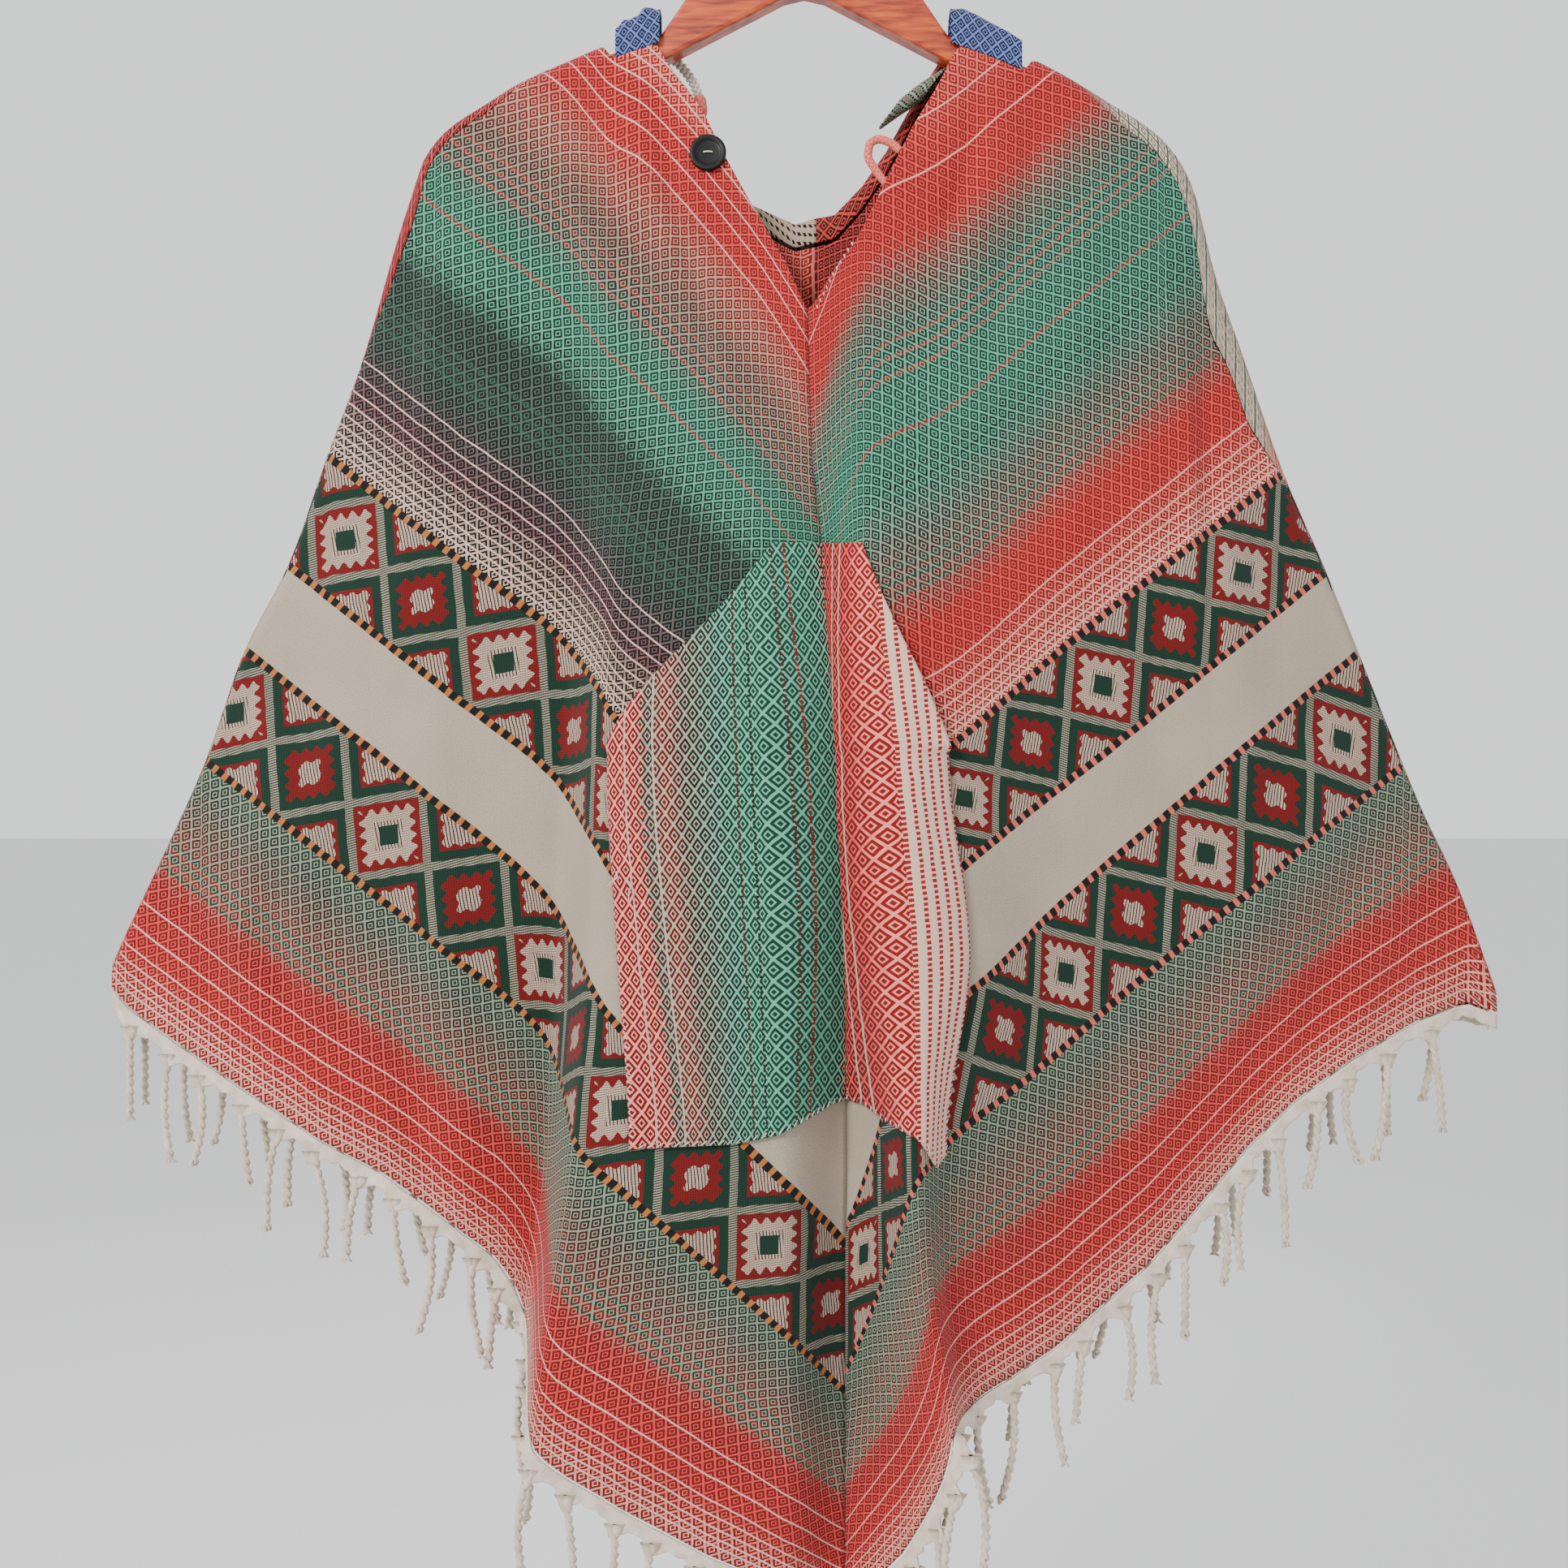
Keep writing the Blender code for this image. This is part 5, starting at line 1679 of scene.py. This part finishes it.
# %% [markdown]
# ## The pocket's stripes
# The pocket was cut from the same cloth with the rows upright, so its bands run down it. From left to
# right they go from red through a grey mix and teal to dark red, pink and cream.

# %% The pocket's look
POCKET_STRIPES = (
    (0, CRIMSON, SALMON),
    (33, CRIMSON, SALMON),
    (40, DUSK, SAGE),
    (50, CRIMSON, CREAM),
    (62, DARK_RED, SAGE),
    (84, DUSK, MINT),
    (96, TEAL, MINT),
    (136, TEAL, MINT),
    (146, MAROON, MINT),
    (156, DARK_RED, PINK),
    (178, CRIMSON, PINK),
    (190, RED, SALMON),
    (206, RED, SALMON),
    (228, RED, PALE),
    (260, RED, PALE),
)


def striped_look(name):
    look, tree, shader = new_look(name)
    place, parts = row_place(tree)
    wobble = uneven(tree, place.outputs["UV"], 70.0) - 0.5
    s = Field(tree, parts.outputs["X"]) * 1000.0 + wobble * 1.8
    t = Field(tree, parts.outputs["Y"]) * 1000.0 + wobble * 1.2
    mottled = s + (uneven(tree, place.outputs["UV"], 260.0, 1.0) - 0.5) * 16.0
    ground = ramp(tree, mottled, 0.0, 260.0, [(at, colour) for at, colour, _ in POCKET_STRIPES])
    outline = ramp(tree, mottled, 0.0, 260.0, [(at, colour) for at, _, colour in POCKET_STRIPES])
    colour, height = twill(tree, s, t * 0.8, ground, outline, 10.0)
    dots = (t / 3.3).part().below(0.5)
    for at, yarn, reach in (
        (93.0, PLUM, 0.8),
        (102.0, DARK_RED, 0.8),
        (119.0, PLUM, 0.8),
        (127.0, RED, 1.0),
        (152.0, BLACK, 0.8),
    ):
        colour = blend(tree, s.near(at, reach) * dots, colour, yarn)
    for at in (26.0, 44.0, 165.0, 172.0):
        colour = blend(tree, s.near(at, 0.6), colour, light(206, 196, 184))
    # cream side: red dashes in upright rows
    dash = (s / 7.0).part().below(0.36) * (t / 3.4 + (s / 7.0) * 0.3).part().below(0.62)
    edge = s.above(196.0)
    cream = blend(tree, dash, light(232, 212, 202), light(188, 44, 56))
    colour = blend(tree, edge, colour, cream)
    cloth_finish(tree, shader, colour, height)
    print(name, len(tree.nodes), "nodes")
    return look


dress(pocket, striped_look("weave_pocket"))

# %% [markdown]
# ## Hood cloth and small trims
# The hood's left half is cream with rows of black dashes, and its right half is dark red with diamonds.
# Its blue ends are a finer cloth with small pale diamonds. The loop and the cord's tip are pink.

# %% Looks of the hood, its ends and the trims
def small_diamond_look(name, ground, outline, heart, size, rough=0.9):
    look, tree, shader = new_look(name)
    place, parts = row_place(tree)
    wobble = (uneven(tree, place.outputs["UV"], 120.0) - 0.5) * 1.6
    u = Field(tree, parts.outputs["X"]) * 1000.0 + wobble
    v = Field(tree, parts.outputs["Y"]) * 1000.0 + wobble
    away = diamonds(u, v, size)
    fade = uneven(tree, place.outputs["UV"], 55.0)
    base = blend(tree, fade, ground, tuple(0.6 * value for value in ground[:3]) + (1.0,))
    colour = blend(tree, away.above(0.8), base, outline)
    colour = blend(tree, away.above(0.28) * away.below(0.46), colour, outline)
    colour = blend(tree, away.below(0.22), colour, heart)
    threads = ((u * (2 * math.pi / 0.9)).wave() + (v * (2 * math.pi / 0.9)).wave()) * 0.25 + 0.5
    cloth_finish(tree, shader, colour, threads + away.above(0.74) * 0.5, 0.25, 0.5, rough)
    return look


def dashed_look(name, ground, yarn):
    """Plain cloth with rows of short dashes that lean in turn, as the hood's lining side shows."""
    look, tree, shader = new_look(name)
    place, parts = row_place(tree)
    wobble = (uneven(tree, place.outputs["UV"], 150.0) - 0.5) * 1.8
    u = Field(tree, parts.outputs["X"]) * 1000.0 + wobble
    v = Field(tree, parts.outputs["Y"]) * 1000.0 + u * 0.3 + wobble
    row = (v / 6.2).part()
    lean = u + row * 3.0
    dash = row.below(0.4) * (lean / 3.6).part().below(0.58)
    shade = uneven(tree, place.outputs["UV"], 900.0)
    base = blend(tree, shade, ground, tuple(0.72 * value for value in ground[:3]) + (1.0,))
    threads = ((u * (2 * math.pi / 0.9)).wave() + (v * (2 * math.pi / 0.9)).wave()) * 0.25 + 0.5
    cloth_finish(tree, shader, blend(tree, dash, base, yarn), threads + dash * 0.4, 0.25, 0.5)
    return look


hood_look = small_diamond_look("weave_hood", DARK_RED, light(206, 120, 114), BLACK, 9.4)
pale_hood_look = dashed_look("weave_pale_hood", CREAM, BLACK)
BLUE = light(40, 66, 122)
PALE_BLUE = light(150, 164, 196)
PURPLE = light(84, 34, 76)
blue_look = small_diamond_look("weave_blue", BLUE, PALE_BLUE, PURPLE, 8.4)
casing_look = small_diamond_look("weave_casing", light(70, 80, 78), SAGE, CRIMSON, 8.0)
loop_look = small_diamond_look("weave_loop", PINK, SALMON, RED, 3.6)
for piece, look in (
    (hood_left, pale_hood_look),
    (hood_right, hood_look),
    (hood_end_left, blue_look),
    (hood_end_right, blue_look),
    (casing, casing_look),
    (loop, loop_look),
    (tip, loop_look),
):
    dress(piece, look)

# %% [markdown]
# ## Yarn, wood, metal and button
# The fringe is undyed cotton, a little greyer in places. The hanger is varnished pale wood whose grain
# runs along the arms, the hook is plated wire, and the button is black with a soft shine.

# %% Cotton yarn
def yarn_look(name, bright, dull, pitch):
    look, tree, shader = new_look(name)
    place = tree.nodes.new("ShaderNodeTexCoord")
    parts = tree.nodes.new("ShaderNodeSeparateXYZ")
    tree.links.new(place.outputs["Object"], parts.inputs[0])
    fade = uneven(tree, place.outputs["Object"], 120.0, 3.0)
    x = Field(tree, parts.outputs["X"]) * 1000.0
    z = Field(tree, parts.outputs["Z"]) * 1000.0
    fibres = ((x * 1.7 + z) * (2 * math.pi / pitch)).wave() * 0.5 + 0.5
    colour = blend(tree, fade, dull, bright)
    colour = blend(tree, fibres * 0.22, colour, dull)
    cloth_finish(tree, shader, colour, fibres, 0.3, 0.7, 0.92, 0.1)
    return look


cream_yarn = yarn_look("cream_yarn", light(250, 244, 234), light(204, 192, 176), 1.5)
header_yarn = yarn_look("header_yarn", light(252, 246, 238), light(204, 194, 180), 2.2)
white_yarn = yarn_look("white_yarn", light(250, 248, 242), light(208, 200, 190), 1.1)
for header, tassels in fringes.values():
    dress(header, header_yarn)
    dress(tassels, cream_yarn)
for piece in (cord, thread, *stitches, *loose):
    dress(piece, white_yarn)

# %% Varnished wood
wood_look, tree, shader = new_look("varnished_wood")
place = tree.nodes.new("ShaderNodeTexCoord")
stretch = tree.nodes.new("ShaderNodeMapping")
stretch.inputs["Scale"].default_value = (9.0, 60.0, 60.0)
tree.links.new(place.outputs["Object"], stretch.inputs["Vector"])
grain = uneven(tree, stretch.outputs["Vector"], 4.0, 6.0)
WOOD_TONES = [(0.3, light(150, 82, 30)), (0.48, light(196, 118, 46)), (0.7, light(222, 150, 72))]
colour = ramp(tree, grain, 0.3, 0.7, WOOD_TONES)
tree.links.new(colour, shader.inputs["Base Color"])
shader.inputs["Roughness"].default_value = 0.34
shader.inputs["Coat Weight"].default_value = 0.35
shader.inputs["Coat Roughness"].default_value = 0.2
bump = tree.nodes.new("ShaderNodeBump")
bump.inputs["Strength"].default_value = 0.2
bump.inputs["Distance"].default_value = 0.2 * MM
tree.links.new(grain.socket, bump.inputs["Height"])
tree.links.new(bump.outputs["Normal"], shader.inputs["Normal"])

# %% Plated wire and the black button
metal_look, tree, shader = new_look("plated_wire")
place = tree.nodes.new("ShaderNodeTexCoord")
smear = uneven(tree, place.outputs["Object"], 300.0, 4.0)
tree.links.new(blend(tree, smear, light(170, 170, 172), light(214, 214, 216)), shader.inputs["Base Color"])
tree.links.new((smear * 0.3 + 0.12).socket, shader.inputs["Roughness"])
shader.inputs["Metallic"].default_value = 1.0

button_look, tree, shader = new_look("black_button_finish")
place = tree.nodes.new("ShaderNodeTexCoord")
smear = uneven(tree, place.outputs["Object"], 420.0, 4.0)
tree.links.new(blend(tree, smear, light(8, 6, 7), light(26, 20, 20)), shader.inputs["Base Color"])
tree.links.new((smear * 0.35 + 0.3).socket, shader.inputs["Roughness"])
shader.inputs["Specular IOR Level"].default_value = 0.22
dress(button, button_look)
for node, look in (("hanger_bar", wood_look), ("hanger_hook", metal_look)):
    bpy.data.objects[node].material_slots[0].material = look
print("looks:", len(bpy.data.materials))
